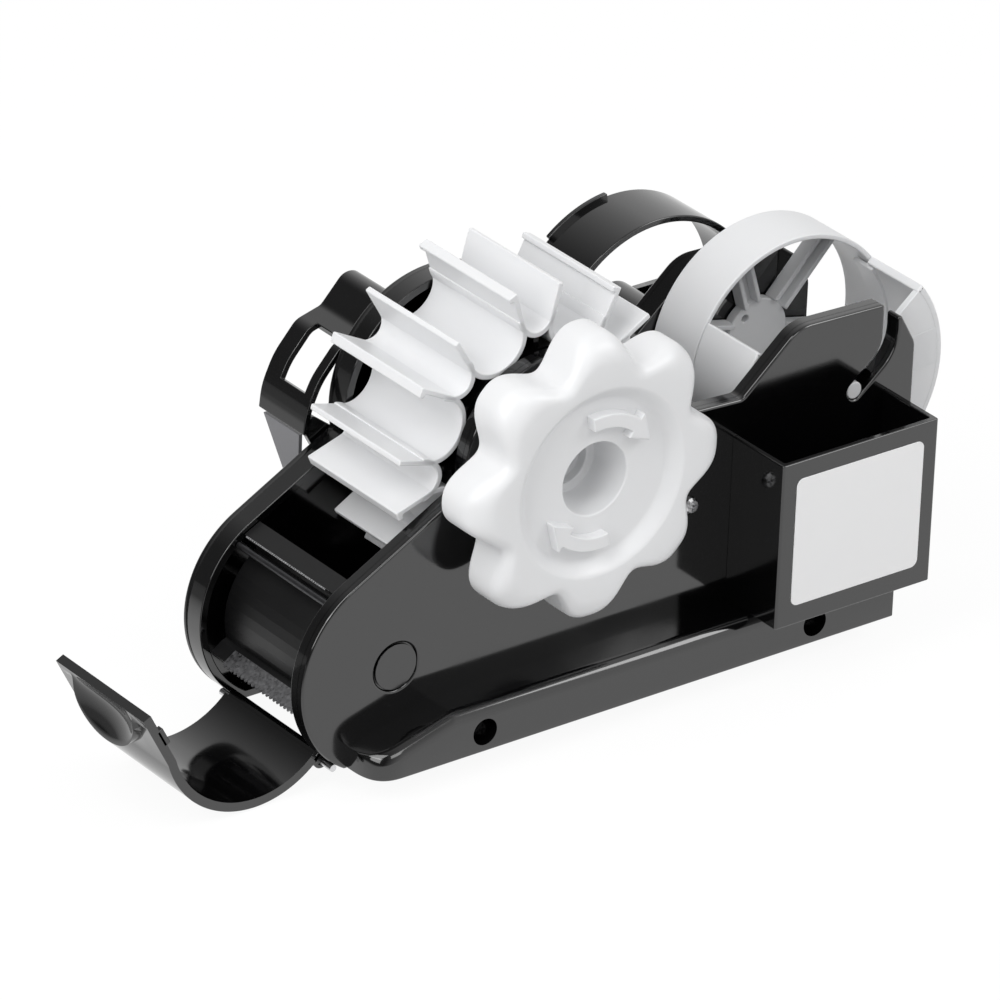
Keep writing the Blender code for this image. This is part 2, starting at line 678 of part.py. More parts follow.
def side_plate(name, inner, outer, hump_r):
    """A plate with its rim, foot flange, hinge lug, slot, bearing boss and holes."""
    outward = 1 if outer > inner else -1
    low, high = min(inner, outer), max(inner, outer)
    floor = outer - outward * PANEL
    plate = prism(name, plate_outline(hump_r), low, high)
    fuse(plate, foot_flange(f"{name}_foot", outer, outward))
    tip = inner + outward * LUG_WIDTH
    fuse(plate, cylinder(f"{name}_lug", LUG_R, min(inner, tip), max(inner, tip),
                         (HINGE_X, 0, HINGE_Z), SMALL_STEPS))
    pocket = nose_and_hump(hump_r, RIM)
    pocket += [(POCKET_END_X, LOW_TOP_Z - RIM), (POCKET_END_X, UNDERSIDE + RIM)]
    over = inner - outward * OVERRUN
    cut(plate, prism(f"{name}_pocket", pocket, min(floor, over), max(floor, over)))
    root = floor + outward * FOOT_ROOT
    for part, x, z, r in (("bearing", 0, WHEEL_Z, BOSS_R), ("rod_boss", SIDE_ROD_X, SIDE_ROD_Z, ROD_R),
                          ("nose_boss", NOSE_X, NOSE_Z, NOSE_ROD_R)):
        boss = cylinder(f"{name}_{part}", r, min(root, inner), max(root, inner), (x, 0, z), SMALL_STEPS)
        fuse(plate, boss)
    cut(plate, cylinder(f"{name}_bore", BUSH_R, low - OVERRUN, high + OVERRUN, (0, 0, WHEEL_Z)))
    cut(plate, slot_cutter(f"{name}_slot", low - OVERRUN, high + OVERRUN))
    cut(plate, cylinder(f"{name}_pin_hole", PIN_R, low - OVERRUN, high + OVERRUN,
                        (HINGE_X, 0, HINGE_Z), SMALL_STEPS))
    for part, x, z in rod_places():
        if outward > 0 or part == SCREWED_THROUGH:
            cut(plate, cylinder(f"{name}_{part}_hole", SCREW_SHANK_R + GAP, low - OVERRUN, high + OVERRUN,
                                (x, 0, z), SCREW_STEPS))
    foot = outer + outward * FOOT_REACH
    for part, x in foot_holes():
        deep = foot - outward * FOOT_HOLE_DEPTH
        past = foot + outward * OVERRUN
        cut(plate, cylinder(f"{name}_{part}_well", FOOT_HOLE_R, min(deep, past), max(deep, past),
                            (x, 0, FOOT_HOLE_Z), SMALL_STEPS))
        past = inner - outward * OVERRUN
        cut(plate, cylinder(f"{name}_{part}_bore", SCREW_SHANK_R + GAP, min(deep, past), max(deep, past),
                            (x, 0, FOOT_HOLE_Z), SCREW_STEPS))
    return finish(plate, "black_plastic")


def rod_places():
    """Names and places of the tie rods between the plates."""
    return (("side_rod", SIDE_ROD_X, SIDE_ROD_Z), ("tail_rod", TAIL_ROD_X, TAIL_ROD_Z),
            ("nose_rod", NOSE_X, NOSE_Z))


def foot_holes():
    """Names and places along X of the deep screw holes in each foot."""
    return (("front", FOOT_HOLE_FRONT_X), ("rear", FOOT_HOLE_REAR_X))


def right_plate():
    """The plate on the knob's side, with the thin round mark on its nose."""
    plate = side_plate("right_side_plate", RIGHT_IN, RIGHT_OUT, RIGHT_HUMP_R)
    line = NOSE_MARK_LINE
    profile = [(NOSE_MARK_R - line, RIGHT_OUT + line), (NOSE_MARK_R, RIGHT_OUT + line),
               (NOSE_MARK_R, RIGHT_OUT - OVERRUN), (NOSE_MARK_R - line, RIGHT_OUT - OVERRUN)]
    cut(plate, turned("right_side_plate_mark", profile, (NOSE_X, 0, NOSE_Z)))
    return plate


def arm_screw_places():
    """Names and places of the screws that hold the guide arm."""
    return (("upper", ARM_SCREW_X, ARM_SCREW_Z), ("lower", ARM_SCREW_LOW_X, ARM_SCREW_LOW_Z))


def left_plate():
    """The plate on the far side, with sunk screw seats and holes for the guide arm's screws."""
    plate = side_plate("left_side_plate", LEFT_IN, LEFT_OUT, LEFT_HUMP_R)
    for part, x, z in rod_places():
        cut(plate, cylinder(f"left_side_plate_{part}_seat", SCREW_HEAD_R + GAP, LEFT_OUT - SCREW_HEAD_T,
                            LEFT_OUT + OVERRUN, (x, 0, z), SCREW_STEPS))
    for part, x, z in arm_screw_places():
        cut(plate, cylinder(f"left_side_plate_arm_{part}", SCREW_SHANK_R + GAP, LEFT_IN - OVERRUN,
                            LEFT_OUT + OVERRUN, (x, 0, z), SCREW_STEPS))
    return plate


# Base, rods, screws and feet

def base_floor():
    """The floor between the plates, with a cross block at each pair of foot screws."""
    low, high = RIGHT_IN + GAP, LEFT_IN - GAP
    top = UNDERSIDE + FLOOR_THICK
    outline = [(FLOOR_FRONT_X, UNDERSIDE), (FLOOR_REAR_X, UNDERSIDE), (FLOOR_REAR_X, top)]
    for _, x in foot_holes()[::-1]:
        half = FLOOR_BLOCK_W / 2
        outline += [(x + half, top), (x + half, UNDERSIDE + FLOOR_BLOCK_H)]
        outline += [(x - half, UNDERSIDE + FLOOR_BLOCK_H), (x - half, top)]
    outline += [(FLOOR_FRONT_X, top)]
    floor = prism("base_floor", outline, low, high)
    for part, x in foot_holes():
        for side, face, outward in (("left", high, 1), ("right", low, -1)):
            deep = face - outward * SCREW_LENGTH
            past = face + outward * OVERRUN
            cut(floor, cylinder(f"base_floor_{part}_{side}", SCREW_SHANK_R + GAP / 2, min(deep, past),
                                max(deep, past), (x, 0, FOOT_HOLE_Z), SCREW_STEPS))
    return finish(floor, "black_plastic")


def tie_rod(name, x, z, r):
    """A round spacer between the plates, bored for its screws."""
    low, high = RIGHT_IN, LEFT_IN
    rod = cylinder(name, r, low, high, (x, 0, z), SMALL_STEPS)
    for side, face, outward in (("left", high, 1), ("right", low, -1)):
        if outward < 0 and name != SCREWED_THROUGH:
            continue
        deep = face - outward * SCREW_LENGTH
        past = face + outward * OVERRUN
        cut(rod, cylinder(f"{name}_{side}", SCREW_SHANK_R + GAP / 2, min(deep, past), max(deep, past),
                          (x, 0, z), SCREW_STEPS))
    return finish(rod, "black_plastic")


def frame_screws():
    """The screws that hold the rods, seen on the left plate and one on the right plate."""
    seat = LEFT_OUT - SCREW_HEAD_T
    for part, x, z in rod_places():
        finish(screw(f"{part}_screw_left", x, z, seat, 1, LEFT_DEPTH + SCREW_LENGTH / 2), "steel")
    finish(screw("side_rod_screw_right", SIDE_ROD_X, SIDE_ROD_Z, RIGHT_OUT, -1,
                 RIGHT_DEPTH + SCREW_LENGTH / 2), "steel")
    reach = FOOT_REACH - FOOT_HOLE_DEPTH
    for part, x in foot_holes():
        right = RIGHT_OUT - reach
        finish(screw(f"foot_screw_{part}_right", x, FOOT_HOLE_Z, right, -1,
                     RIGHT_DEPTH + reach + SCREW_LENGTH / 2), "steel")
        left = LEFT_OUT + reach
        finish(screw(f"foot_screw_{part}_left", x, FOOT_HOLE_Z, left, 1,
                     LEFT_DEPTH + reach + SCREW_LENGTH / 2), "steel")


def rubber_foot(name, x, y):
    """A round rubber foot under the base."""
    low = UNDERSIDE - PAD_HEIGHT
    profile = [(0, low), (PAD_R - PAD_EDGE, low), (PAD_R, low + PAD_EDGE),
               (PAD_R, UNDERSIDE), (0, UNDERSIDE)]
    foot = turned(name, profile, (x, y, 0), SMALL_STEPS, upright=True)
    return finish(foot, "rubber")


def rubber_feet():
    """Four feet, near the corners of the base."""
    for end, x in (("front", PAD_FRONT_X), ("rear", PAD_REAR_X)):
        rubber_foot(f"rubber_foot_{end}_right", x, RIGHT_OUT - FOOT_REACH + PAD_INSET + PAD_R)
        rubber_foot(f"rubber_foot_{end}_left", x, LEFT_OUT + FOOT_REACH - PAD_INSET - PAD_R)


# Nose: chute, blades, cover and hinge

def chute_ends():
    """Where the chute's lips run under the two blades, as (outer, inner) point pairs."""
    ends = []
    below = (CHUTE_WALL + BLADE_THICK) / 2
    for x, z, tilt, deep in ((UPPER_BLADE_X, UPPER_BLADE_Z, UPPER_BLADE_TILT, UPPER_SEAT_DEEP),
                             (LOWER_BLADE_X, LOWER_BLADE_Z, LOWER_BLADE_TILT, LOWER_BLADE_DEEP)):
        along = Vector((math.cos(tilt), math.sin(tilt)))
        down = Vector((math.sin(tilt), -math.cos(tilt))) * below
        tip = Vector((x, z)) + down + along * BLADE_SHOW
        ends.append((tip, tip + along * (deep - BLADE_SHOW)))
    return ends


def nose_chute():
    """The curved inner wall of the nose, whose two lips carry the blades."""
    (top_out, top_in), (low_out, low_in) = chute_ends()
    curve = arc(NOSE_X, NOSE_Z, CHUTE_R, CHUTE_START, CHUTE_END, arc_steps(CHUTE_START, CHUTE_END))
    path = [tuple(top_out), tuple(top_in)] + curve + [tuple(low_in), tuple(low_out)]
    chute = prism("nose_chute", band(path, CHUTE_WALL), RIGHT_IN + GAP, LEFT_IN - GAP)
    return finish(chute, "black_plastic")


def blade(name, x, z, tilt, deep, width, middle, pitch, height):
    """A thin steel strip with a row of teeth along its front edge."""
    count = max(1, round(width / pitch))
    step = width / count
    outline = []
    for i in range(count):
        at = middle - width / 2 + i * step
        outline += [(at, height), (at + step / 2, 0)]
    outline += [(middle + width / 2, height), (middle + width / 2, deep), (middle - width / 2, deep)]
    along = Vector((math.cos(tilt), 0, math.sin(tilt)))
    strip = sheet(name, outline, Vector((x, 0, z)), Vector((0, 1, 0)), along, BLADE_THICK)
    return finish(strip, "steel", smooth=False)


def blades():
    """The upper and the lower serrated blade, and the bar under the upper one."""
    blade("upper_blade", UPPER_BLADE_X, UPPER_BLADE_Z, UPPER_BLADE_TILT, UPPER_BLADE_DEEP,
          UPPER_BLADE_WIDTH, UPPER_BLADE_MID, UPPER_PITCH, TOOTH_HEIGHT)
    blade("lower_blade", LOWER_BLADE_X, LOWER_BLADE_Z, LOWER_BLADE_TILT, LOWER_BLADE_DEEP,
          LOWER_BLADE_WIDTH, LOWER_BLADE_MID, LOWER_PITCH, TOOTH_HEIGHT)
    bar = cylinder("upper_blade_bar", BLADE_BAR_R, RIGHT_IN + GAP, LEFT_IN - GAP,
                   (BLADE_BAR_X, 0, BLADE_BAR_Z), SMALL_STEPS)
    finish(bar, "steel")


def cover_centre():
    """The middle of the cover's arc, measured from the hinge."""
    return (COVER_REACH * math.cos(COVER_OPEN), COVER_REACH * math.sin(COVER_OPEN))


def scoop(y):
    """Places down the flap from its tip, with the outer face's height there: foot, lip, bowl, tip."""
    share = min(1.0, abs(y) / SCOOP_HALF)
    length = SCOOP_REACH * (SCOOP_SHORT + (1 - SCOOP_SHORT) * math.sqrt(1 - share * share))
    lip = length * (1 - SCOOP_LIP_SHARE)
    slope = SCOOP_RISE / SCOOP_REACH
    line = [(SCOOP_TOP + length + SCOOP_FOOT, 0), (SCOOP_TOP + length, slope * length)]
    for i in range(BOWL_STEPS):
        t = 1 - i / BOWL_STEPS
        dip = SCOOP_DEPTH * (1 - share * share) * 4 * t * (1 - t)
        line.append((SCOOP_TOP + lip * t, slope * lip * t - dip))
    line += [(SCOOP_TOP, 0), (0, 0)]
    return [(s, 0 if abs(y) > SCOOP_HALF else h) for s, h in line]


def cover_section(y):
    """The cover's outline at one place along Y; the flap's outer face has a finger scoop with a lip."""
    cx, cz = cover_centre()
    r = COVER_R - COVER_WALL / 2
    start = COVER_OPEN + math.pi
    path = arc(cx, cz, r, start, COVER_ARC_END, arc_steps(start, COVER_ARC_END))
    heading = COVER_ARC_END - math.pi / 2 + FLAP_FLARE
    base, bends, line = path[-1], len(path), scoop(y)
    path += [polar(*base, FLAP_LENGTH - s, heading) for s, h in line]
    outline = band(path, COVER_WALL)
    for i, (s, h) in enumerate(line):
        outline[bends + i] = polar(*outline[bends + i], h, heading + math.pi / 2)
    return [(x, y, z) for x, z in outline]


def front_cover():
    """The hinged front cover: a barrel, a short web, a wide arc and a flap with a finger scoop."""
    side = LEFT_IN - COVER_SIDE_GAP
    at = (HINGE_X, 0, HINGE_Z)
    half = [SCOOP_HALF * math.cos(math.pi * i / SCOOP_STEPS) for i in range(SCOOP_STEPS, -1, -1)]
    places = [-side, -SCOOP_HALF - SCOOP_SIDE] + half + [SCOOP_HALF + SCOOP_SIDE, side]
    cover = loft("front_cover", [cover_section(y) for y in places], at)
    cx, cz = cover_centre()
    root = polar(cx, cz, COVER_R - COVER_WALL / 2, COVER_OPEN + math.pi)
    fuse(cover, prism("front_cover_web", band([(0, 0), root], COVER_WALL), -side, side, at))
    fuse(cover, cylinder("front_cover_barrel", BARREL_R, -side, side, at, SMALL_STEPS))
    cut(cover, cylinder("front_cover_bore", PIN_R + GAP, -side - OVERRUN, side + OVERRUN, at, SMALL_STEPS))
    return finish(cover, "black_plastic")


def hinge_pin():
    """The steel pin through both lugs and the cover's barrel."""
    pin = cylinder("cover_hinge_pin", PIN_R, RIGHT_IN - LUG_WIDTH, LEFT_IN + LUG_WIDTH,
                   (HINGE_X, 0, HINGE_Z), SMALL_STEPS)
    return finish(pin, "steel")


# Paddle wheel

def trough_path():
    """Middle line of one trough around the angle zero, from lip to lip, in the wheel's frame."""
    half = WALL_THICK / 2
    nx, nz = polar(0, 0, NOTCH_R, NOTCH_HALF)
    tx, tz = polar(0, 0, LIP_R - half, LIP_HALF)
    inner = (tx, tz - LIP_OVERHANG)
    width = nz
    path = [inner, (tx, tz)]
    for i in range(TROUGH_STEPS + 1):
        a = math.pi * i / TROUGH_STEPS
        path.append((nx - TROUGH_DEPTH * math.sin(a), width * math.cos(a)))
    path += [(tx, -tz), (inner[0], -inner[1])]
    return path


def saddle_path():
    """Middle line of the narrow floor between two troughs, a little short of the next one."""
    pitch = 2 * math.pi / STATIONS
    near = math.atan2(WALL_THICK / 2 + 3 * GAP, NOTCH_R)
    start, end = NOTCH_HALF, pitch - NOTCH_HALF - near
    path = []
    for i in range(SADDLE_STEPS + 1):
        share = i / SADDLE_STEPS
        dip = SADDLE_DEPTH * math.sin(math.pi * share)
        path.append(polar(0, 0, NOTCH_R - dip, start + (end - start) * share))
    return path


def turn_points(points, angle):
    """Points of the X-Z plane turned about the wheel's axis."""
    c, s = math.cos(angle), math.sin(angle)
    return [(x * c - z * s, x * s + z * c) for x, z in points]


def paddle(index):
    """One paddle: a trough with two lipped walls and the narrow floor beside it."""
    angle = STATION_PHASE + 2 * math.pi / STATIONS * index
    name = f"paddle_{index + 1}"
    half = PADDLE_WIDTH / 2
    at = (0, 0, WHEEL_Z)
    body = prism(name, turn_points(band(trough_path(), WALL_THICK), angle), -half, half, at)
    fuse(body, prism(f"{name}_floor", turn_points(band(saddle_path(), WALL_THICK), angle), -half, half, at))
    middle = angle + math.pi / STATIONS
    r_in, r_out = NOTCH_R - SADDLE_DEPTH - WALL_THICK, NOTCH_R
    wide = SADDLE_SLOT_W / 2
    slot = [(r_in, -wide), (r_out, -wide), (r_out, wide), (r_in, wide)]
    for side, y in (("right", -half + SADDLE_SLOT_IN), ("left", half - SADDLE_SLOT_IN - SADDLE_SLOT_L)):
        cut(body, prism(f"{name}_slot_{side}", turn_points(slot, middle), y, y + SADDLE_SLOT_L, at))
    return finish(body, "white_plastic")


def wheel_core():
    """The drum that carries the paddles: eight ribs outside, a web and a hub inside."""
    drum_r = NOTCH_R - TROUGH_DEPTH - WALL_THICK / 2 - (NOTCH_R - NOTCH_R * math.cos(NOTCH_HALF)) - GAP
    rib_r = NOTCH_R - SADDLE_DEPTH - WALL_THICK / 2 - GAP
    pitch = 2 * math.pi / STATIONS
    half = math.atan2(RIB_THICK / 2, drum_r)
    outline = []
    for k in range(STATIONS):
        middle = STATION_PHASE + math.pi / STATIONS + pitch * k
        top = math.atan2(RIB_THICK / 2, rib_r)
        outline += [polar(0, 0, drum_r, middle - half), polar(0, 0, rib_r, middle - top)]
        outline += [polar(0, 0, rib_r, middle + top), polar(0, 0, drum_r, middle + half)]
        outline += arc(0, 0, drum_r, middle + half, middle + pitch - half, 6)[1:-1]
    at = (0, 0, WHEEL_Z)
    core = prism("wheel_core", outline, -CORE_HALF_LENGTH, CORE_HALF_LENGTH, at)
    inner = drum_r - CORE_DRUM_WALL
    for side, face, sign in (("left", CORE_HALF_LENGTH, 1), ("right", -CORE_HALF_LENGTH, -1)):
        deep, past = sign * CORE_WEB / 2, face + sign * OVERRUN
        ring = [(CORE_HUB_R, deep), (inner, deep), (inner, past), (CORE_HUB_R, past)]
        cut(core, turned(f"wheel_core_{side}", ring, at))
    cut(core, cylinder("wheel_core_bore", SHAFT_R, -CORE_HALF_LENGTH - OVERRUN, CORE_HALF_LENGTH + OVERRUN,
                       at, SMALL_STEPS))
    return finish(core, "grey_plastic")


def wheel_shaft():
    """The shaft from the knob through both plates."""
    start = RIGHT_OUT - KNOB_SEAT
    end = LEFT_OUT + BUSH_STAND + CLIP_T + SHAFT_TAIL
    return finish(cylinder("wheel_shaft", SHAFT_R, start, end, (0, 0, WHEEL_Z), SMALL_STEPS), "steel")


def bush(name, inner, outer):
    """A plain bearing bush in a plate's bore."""
    outward = 1 if outer > inner else -1
    far = outer + outward * BUSH_STAND
    ring = [(SHAFT_R + GAP, inner), (BUSH_R, inner), (BUSH_R, far), (SHAFT_R + GAP, far)]
    return finish(turned(name, ring, (0, 0, WHEEL_Z), SMALL_STEPS), "grey_plastic")


def shaft_clip():
    """The retaining ring on the shaft's left end."""
    near = LEFT_OUT + BUSH_STAND + GAP
    ring = [(SHAFT_R, near), (CLIP_R, near), (CLIP_R, near + CLIP_T), (SHAFT_R, near + CLIP_T)]
    return finish(turned("shaft_clip", ring, (0, 0, WHEEL_Z), SMALL_STEPS), "steel")


def knob():
    """The lobed hand knob, with a sunk disc, a deep stepped hole and a short hub behind."""
    back = RIGHT_OUT - KNOB_STAND
    front = back - KNOB_THICK
    hub_end = RIGHT_OUT - BUSH_STAND - GAP
    disc = front + KNOB_DISC_SINK
    step = disc + KNOB_HOLE_DEPTH
    seat = RIGHT_OUT - KNOB_SEAT
    rows = [(KNOB_HUB_R, hub_end, 0), (KNOB_HUB_R, back, 0)]
    rows += [(KNOB_R - KNOB_BACK_ROUND, back, 1), (KNOB_R, back - KNOB_BACK_ROUND, 1)]
    for i in range(KNOB_FACE_STEPS + 1):
        a = math.pi / 2 * i / KNOB_FACE_STEPS
        r = KNOB_R - KNOB_FACE_ROUND * (1 - math.cos(a))
        rows.append((r, front + KNOB_FACE_ROUND * (1 - math.sin(a)), 1))
    rows += [(KNOB_DISC_R, front, 0), (KNOB_DISC_R - KNOB_DISC_SLOPE, disc, 0), (KNOB_HOLE_R, disc, 0)]
    rows += [(KNOB_HOLE_FOOT_R, step, 0), (KNOB_STEP_R, step, 0), (KNOB_STEP_R, seat, 0)]
    rows += [(SHAFT_R, seat, 0), (SHAFT_R, hub_end, 0)]
    count = KNOB_LOBES * KNOB_STEPS_PER_LOBE
    sections = []
    for base, y, lobed in rows:
        ring = []
        for i in range(count):
            a = 2 * math.pi * i / count
            r = base - lobed * KNOB_VALLEY * (1 - math.cos(KNOB_LOBES * a)) / 2
            ring.append((r * math.cos(a), y, r * math.sin(a)))
        sections.append(ring)
    body = loft("knob", sections, (0, 0, WHEEL_Z), ring=True)
    for part, tail in (("upper", ARROW_TAIL), ("lower", ARROW_TAIL + math.pi)):
        fuse(body, prism(f"knob_arrow_{part}", arrow_outline(tail), disc - ARROW_RISE, disc + FOOT_ROOT,
                         (0, 0, WHEEL_Z)))
    return finish(body, "white_plastic")


def arrow_outline(tail):
    """A curved arrow on the knob's disc, which points the way the knob turns."""
    neck = tail - ARROW_SWEEP * ARROW_NECK_SHARE
    tip = tail - ARROW_SWEEP
    half, wing = ARROW_WIDTH / 2, ARROW_HEAD / 2
    outer = arc(0, 0, ARROW_R + half, tail, neck, ARROW_STEPS)
    inner = arc(0, 0, ARROW_R - half, neck, tail, ARROW_STEPS)
    head = [polar(0, 0, ARROW_R + wing, neck), polar(0, 0, ARROW_R, tip), polar(0, 0, ARROW_R - wing, neck)]
    return outer + head + inner


def knob_screw():
    """The screw that holds the knob on the shaft, at the bottom of its hole."""
    face = RIGHT_OUT - KNOB_SEAT
    head = face - KNOB_SCREW_T
    profile = [(0, head), (KNOB_SCREW_R - KNOB_SCREW_T / 2, head), (KNOB_SCREW_R, head + KNOB_SCREW_T / 2),
               (KNOB_SCREW_R, face), (0, face)]
    body = turned("knob_screw", profile, (0, 0, WHEEL_Z), SMALL_STEPS)
    cross_cut(body, "knob_screw", head, -1, (0, 0, WHEEL_Z))
    return finish(body, "steel")


# Roll core between the plates

def ring_band(name, r, wall, start, end, y0, y1, at):
    """A curved wall of even thickness between two angles."""
    steps = arc_steps(start, end)
    outline = arc(0, 0, r, start, end, steps) + arc(0, 0, r - wall, end, start, steps)
    return prism(name, outline, y0, y1, at)


def spoke(name, angle, y0, y1, at):
    """A spoke with an I-shaped section: two thick edges and a thin web between them."""
    inner, outer = CORE_HUB - GAP, CORE_R - CORE_WALL / 2
    half = SPOKE_WIDTH / 2
    full = turn_points([(inner, -half), (outer, -half), (outer, half), (inner, half)], angle)
    bar = prism(name, full, y0, y1, at)
    gap = half - SPOKE_FLANGE
    reach = CORE_R - CORE_WALL
    hollow = turn_points([(CORE_HUB, -gap), (reach, -gap), (reach, gap), (CORE_HUB, gap)], angle)
    cut(bar, prism(f"{name}_hollow", hollow, y0 - OVERRUN, y1 - SPOKE_WEB, at))
    return bar


def core_left_half():
    """The spoked half of the roll core: a full ring, six spokes, a hub disc and a stub."""
    at = (CORE_X, 0, CORE_Z)
    outer = CORE_WIDTH / 2
    near = outer - RING_WIDTH
    ring = [(CORE_R - CORE_WALL, near), (CORE_R, near), (CORE_R, outer), (CORE_R - CORE_WALL, outer)]
    half = turned("core_left_half", ring, at)
    for k in range(SPOKES):
        angle = SPOKE_PHASE + 2 * math.pi / SPOKES * k
        fuse(half, spoke(f"core_spoke_{k + 1}", angle, outer - SPOKE_DEEP, outer, at))
    fuse(half, cylinder("core_left_hub", CORE_HUB, outer - CORE_HUB_T, outer, at))
    fuse(half, cylinder("core_left_stub", STUB_R, outer - CORE_HUB_T, LEFT_OUT - STUB_END, at, SMALL_STEPS))
    return finish(half, "grey_plastic")


def core_right_half():
    """The clamp half: two arc shoes on a bar, with tongues that press into the ring."""
    at = (CORE_X, 0, CORE_Z)
    outer = -CORE_WIDTH / 2
    seam = CORE_WIDTH / 2 - RING_WIDTH - GAP
    body = None
    for index, middle in enumerate((BAR_TILT, BAR_TILT + math.pi)):
        start, end = middle - SHOE_HALF, middle + SHOE_HALF
        name = "core_right_half" if index == 0 else f"core_shoe_{index + 1}"
        shoe = ring_band(name, CORE_R, SHOE_WALL, start, end, outer, seam, at)
        body = body or shoe
        if shoe is not body:
            fuse(body, shoe)
        tongue_r = CORE_R - CORE_WALL - GAP
        step = ring_band(f"core_step_{index + 1}", CORE_R - CORE_WALL / 2, CORE_WALL,
                         start + TONGUE_INSET, end - TONGUE_INSET, seam - TONGUE_ROOT, seam - GAP, at)
        fuse(body, step)
        tongue = ring_band(f"core_tongue_{index + 1}", tongue_r, TONGUE_WALL, start + 2 * TONGUE_INSET,
                           end - 2 * TONGUE_INSET, seam - TONGUE_ROOT / 2, seam + TONGUE_LENGTH, at)
        fuse(body, tongue)
    reach = CORE_R - CORE_WALL / 2
    rise = BAR_HEIGHT / 2
    outline = turn_points([(-reach, -rise), (reach, -rise), (reach, rise), (-reach, rise)], BAR_TILT)
    fuse(body, prism("core_bar", outline, outer, outer + BAR_THICK, at))
    fuse(body, cylinder("core_right_hub", CLAMP_HUB_R, outer, outer + CORE_HUB_T, at))
    fuse(body, cylinder("core_right_stub", STUB_R, RIGHT_OUT + STUB_END, outer + BAR_THICK, at, SMALL_STEPS))
    return finish(body, "grey_plastic")


# Second core outside the left plate

def side_core():
    """The black core outside the left plate: a ring with a raised tab, a bar and a hub."""
    at = (SIDE_CORE_X, 0, SIDE_CORE_Z)
    near = LEFT_OUT + SIDE_CORE_STAND
    far = near + SIDE_CORE_WIDTH
    inner = SIDE_CORE_R - SIDE_CORE_WALL
    body = turned("side_core", [(inner, near), (SIDE_CORE_R, near), (SIDE_CORE_R, far), (inner, far)], at)
    tab = ring_band("side_core_tab", SIDE_CORE_R + SIDE_TAB_RISE, SIDE_TAB_RISE + SIDE_CORE_WALL / 2,
                    SIDE_TAB_AT - SIDE_TAB_HALF, SIDE_TAB_AT + SIDE_TAB_HALF, far - SIDE_TAB_THICK, far, at)
    fuse(body, tab)
    reach = SIDE_CORE_R - SIDE_CORE_WALL / 2
    rise = SIDE_BAR_HEIGHT / 2
    bar = prism("side_core_bar", [(-reach, -rise), (reach, -rise), (reach, rise), (-reach, rise)],
                far - SIDE_BAR_THICK, far, at)
    fuse(body, bar)
    fuse(body, cylinder("side_core_hub", SIDE_HUB_R, near, far, at))
    cut(body, cylinder("side_core_bore", SIDE_AXLE_R + GAP, near - OVERRUN, far + OVERRUN, at, SMALL_STEPS))
    return finish(body, "black_plastic")


def side_axle():
    """The fixed axle of the side core, with a head that keeps the core on it."""
    at = (SIDE_CORE_X, 0, SIDE_CORE_Z)
    far = LEFT_OUT + SIDE_CORE_STAND + SIDE_CORE_WIDTH
    seat = LEFT_OUT + SIDE_CORE_STAND - GAP
    profile = [(0, LEFT_OUT), (SIDE_CAP_R, LEFT_OUT), (SIDE_CAP_R, seat), (SIDE_AXLE_R, seat),
               (SIDE_AXLE_R, far), (0, far)]
    return finish(turned("side_core_axle", profile, at, SMALL_STEPS), "grey_plastic")


# Tape guide arm

def arm_path():
    """Middle line of the guide arm's curved strip, from its lower lip to its hook."""
    return fillet([
        (ARM_LIP_X, ARM_LIP_Z, 0),
        (ARM_BELLY_X, ARM_BELLY_Z, ARM_BEND),
        (ARM_BOW_X, ARM_BOW_Z, ARM_BEND),
        (ARM_SHOULDER_X, ARM_SHOULDER_Z, ARM_ROUND),
        (ARM_NECK_X, ARM_NECK_Z, ARM_ROUND),
        (ARM_TOP_X, ARM_TOP_Z, ARM_ROUND),
        (ARM_CREST_X, ARM_TOP_Z, ARM_ROUND),
        (ARM_HOOK_X, ARM_HOOK_Z, 0),
    ], closed=False)


def guide_arm():
    """The black guide arm: a curved strip with a window, on a foot and a head plate."""
    near = LEFT_OUT + GAP
    far = near + ARM_WIDTH
    arm = prism("guide_arm", band(arm_path(), ARM_WALL), near, far)
    foot = [(ARM_LIP_X, ARM_LIP_Z), (ARM_BELLY_X, ARM_BELLY_Z), (ARM_PLATE_REAR_X, ARM_PLATE_REAR_Z),
            (ARM_PLATE_FOOT_X, ARM_PLATE_FOOT_Z)]
    fuse(arm, prism("guide_arm_foot", foot, near, near + ARM_PLATE_THICK))
    head = [(ARM_NECK_X, ARM_NECK_Z), (ARM_TOP_X, ARM_TOP_Z), (ARM_CREST_X, ARM_TOP_Z),
            (ARM_HOOK_X, ARM_HOOK_Z), (ARM_HEAD_REAR_X, ARM_HEAD_FOOT_Z), (ARM_HEAD_FOOT_X, ARM_HEAD_FOOT_Z)]
    fuse(arm, prism("guide_arm_head", head, near, near + ARM_PLATE_THICK))
    window = [(ARM_LIP_X - WINDOW_REACH, WINDOW_LOW_Z), (WINDOW_TOP_X, WINDOW_LOW_Z),
              (WINDOW_TOP_X, WINDOW_HIGH_Z), (ARM_LIP_X - WINDOW_REACH, WINDOW_HIGH_Z)]
    cut(arm, prism("guide_arm_window", window, far - WINDOW_EDGE - WINDOW_WIDTH, far - WINDOW_EDGE))
    for part, x, z in arm_screw_places():
        cut(arm, cylinder(f"guide_arm_hole_{part}", SCREW_SHANK_R + GAP, near - OVERRUN,
                          near + ARM_PLATE_THICK + OVERRUN, (x, 0, z), SCREW_STEPS))
    return finish(arm, "black_plastic")


def arm_screws():
    """Two screws that hold the guide arm on the left plate."""
    face = LEFT_OUT + GAP + ARM_PLATE_THICK
    for part, x, z in arm_screw_places():
        finish(screw(f"arm_screw_{part}", x, z, face, 1, ARM_PLATE_THICK + PANEL), "steel")


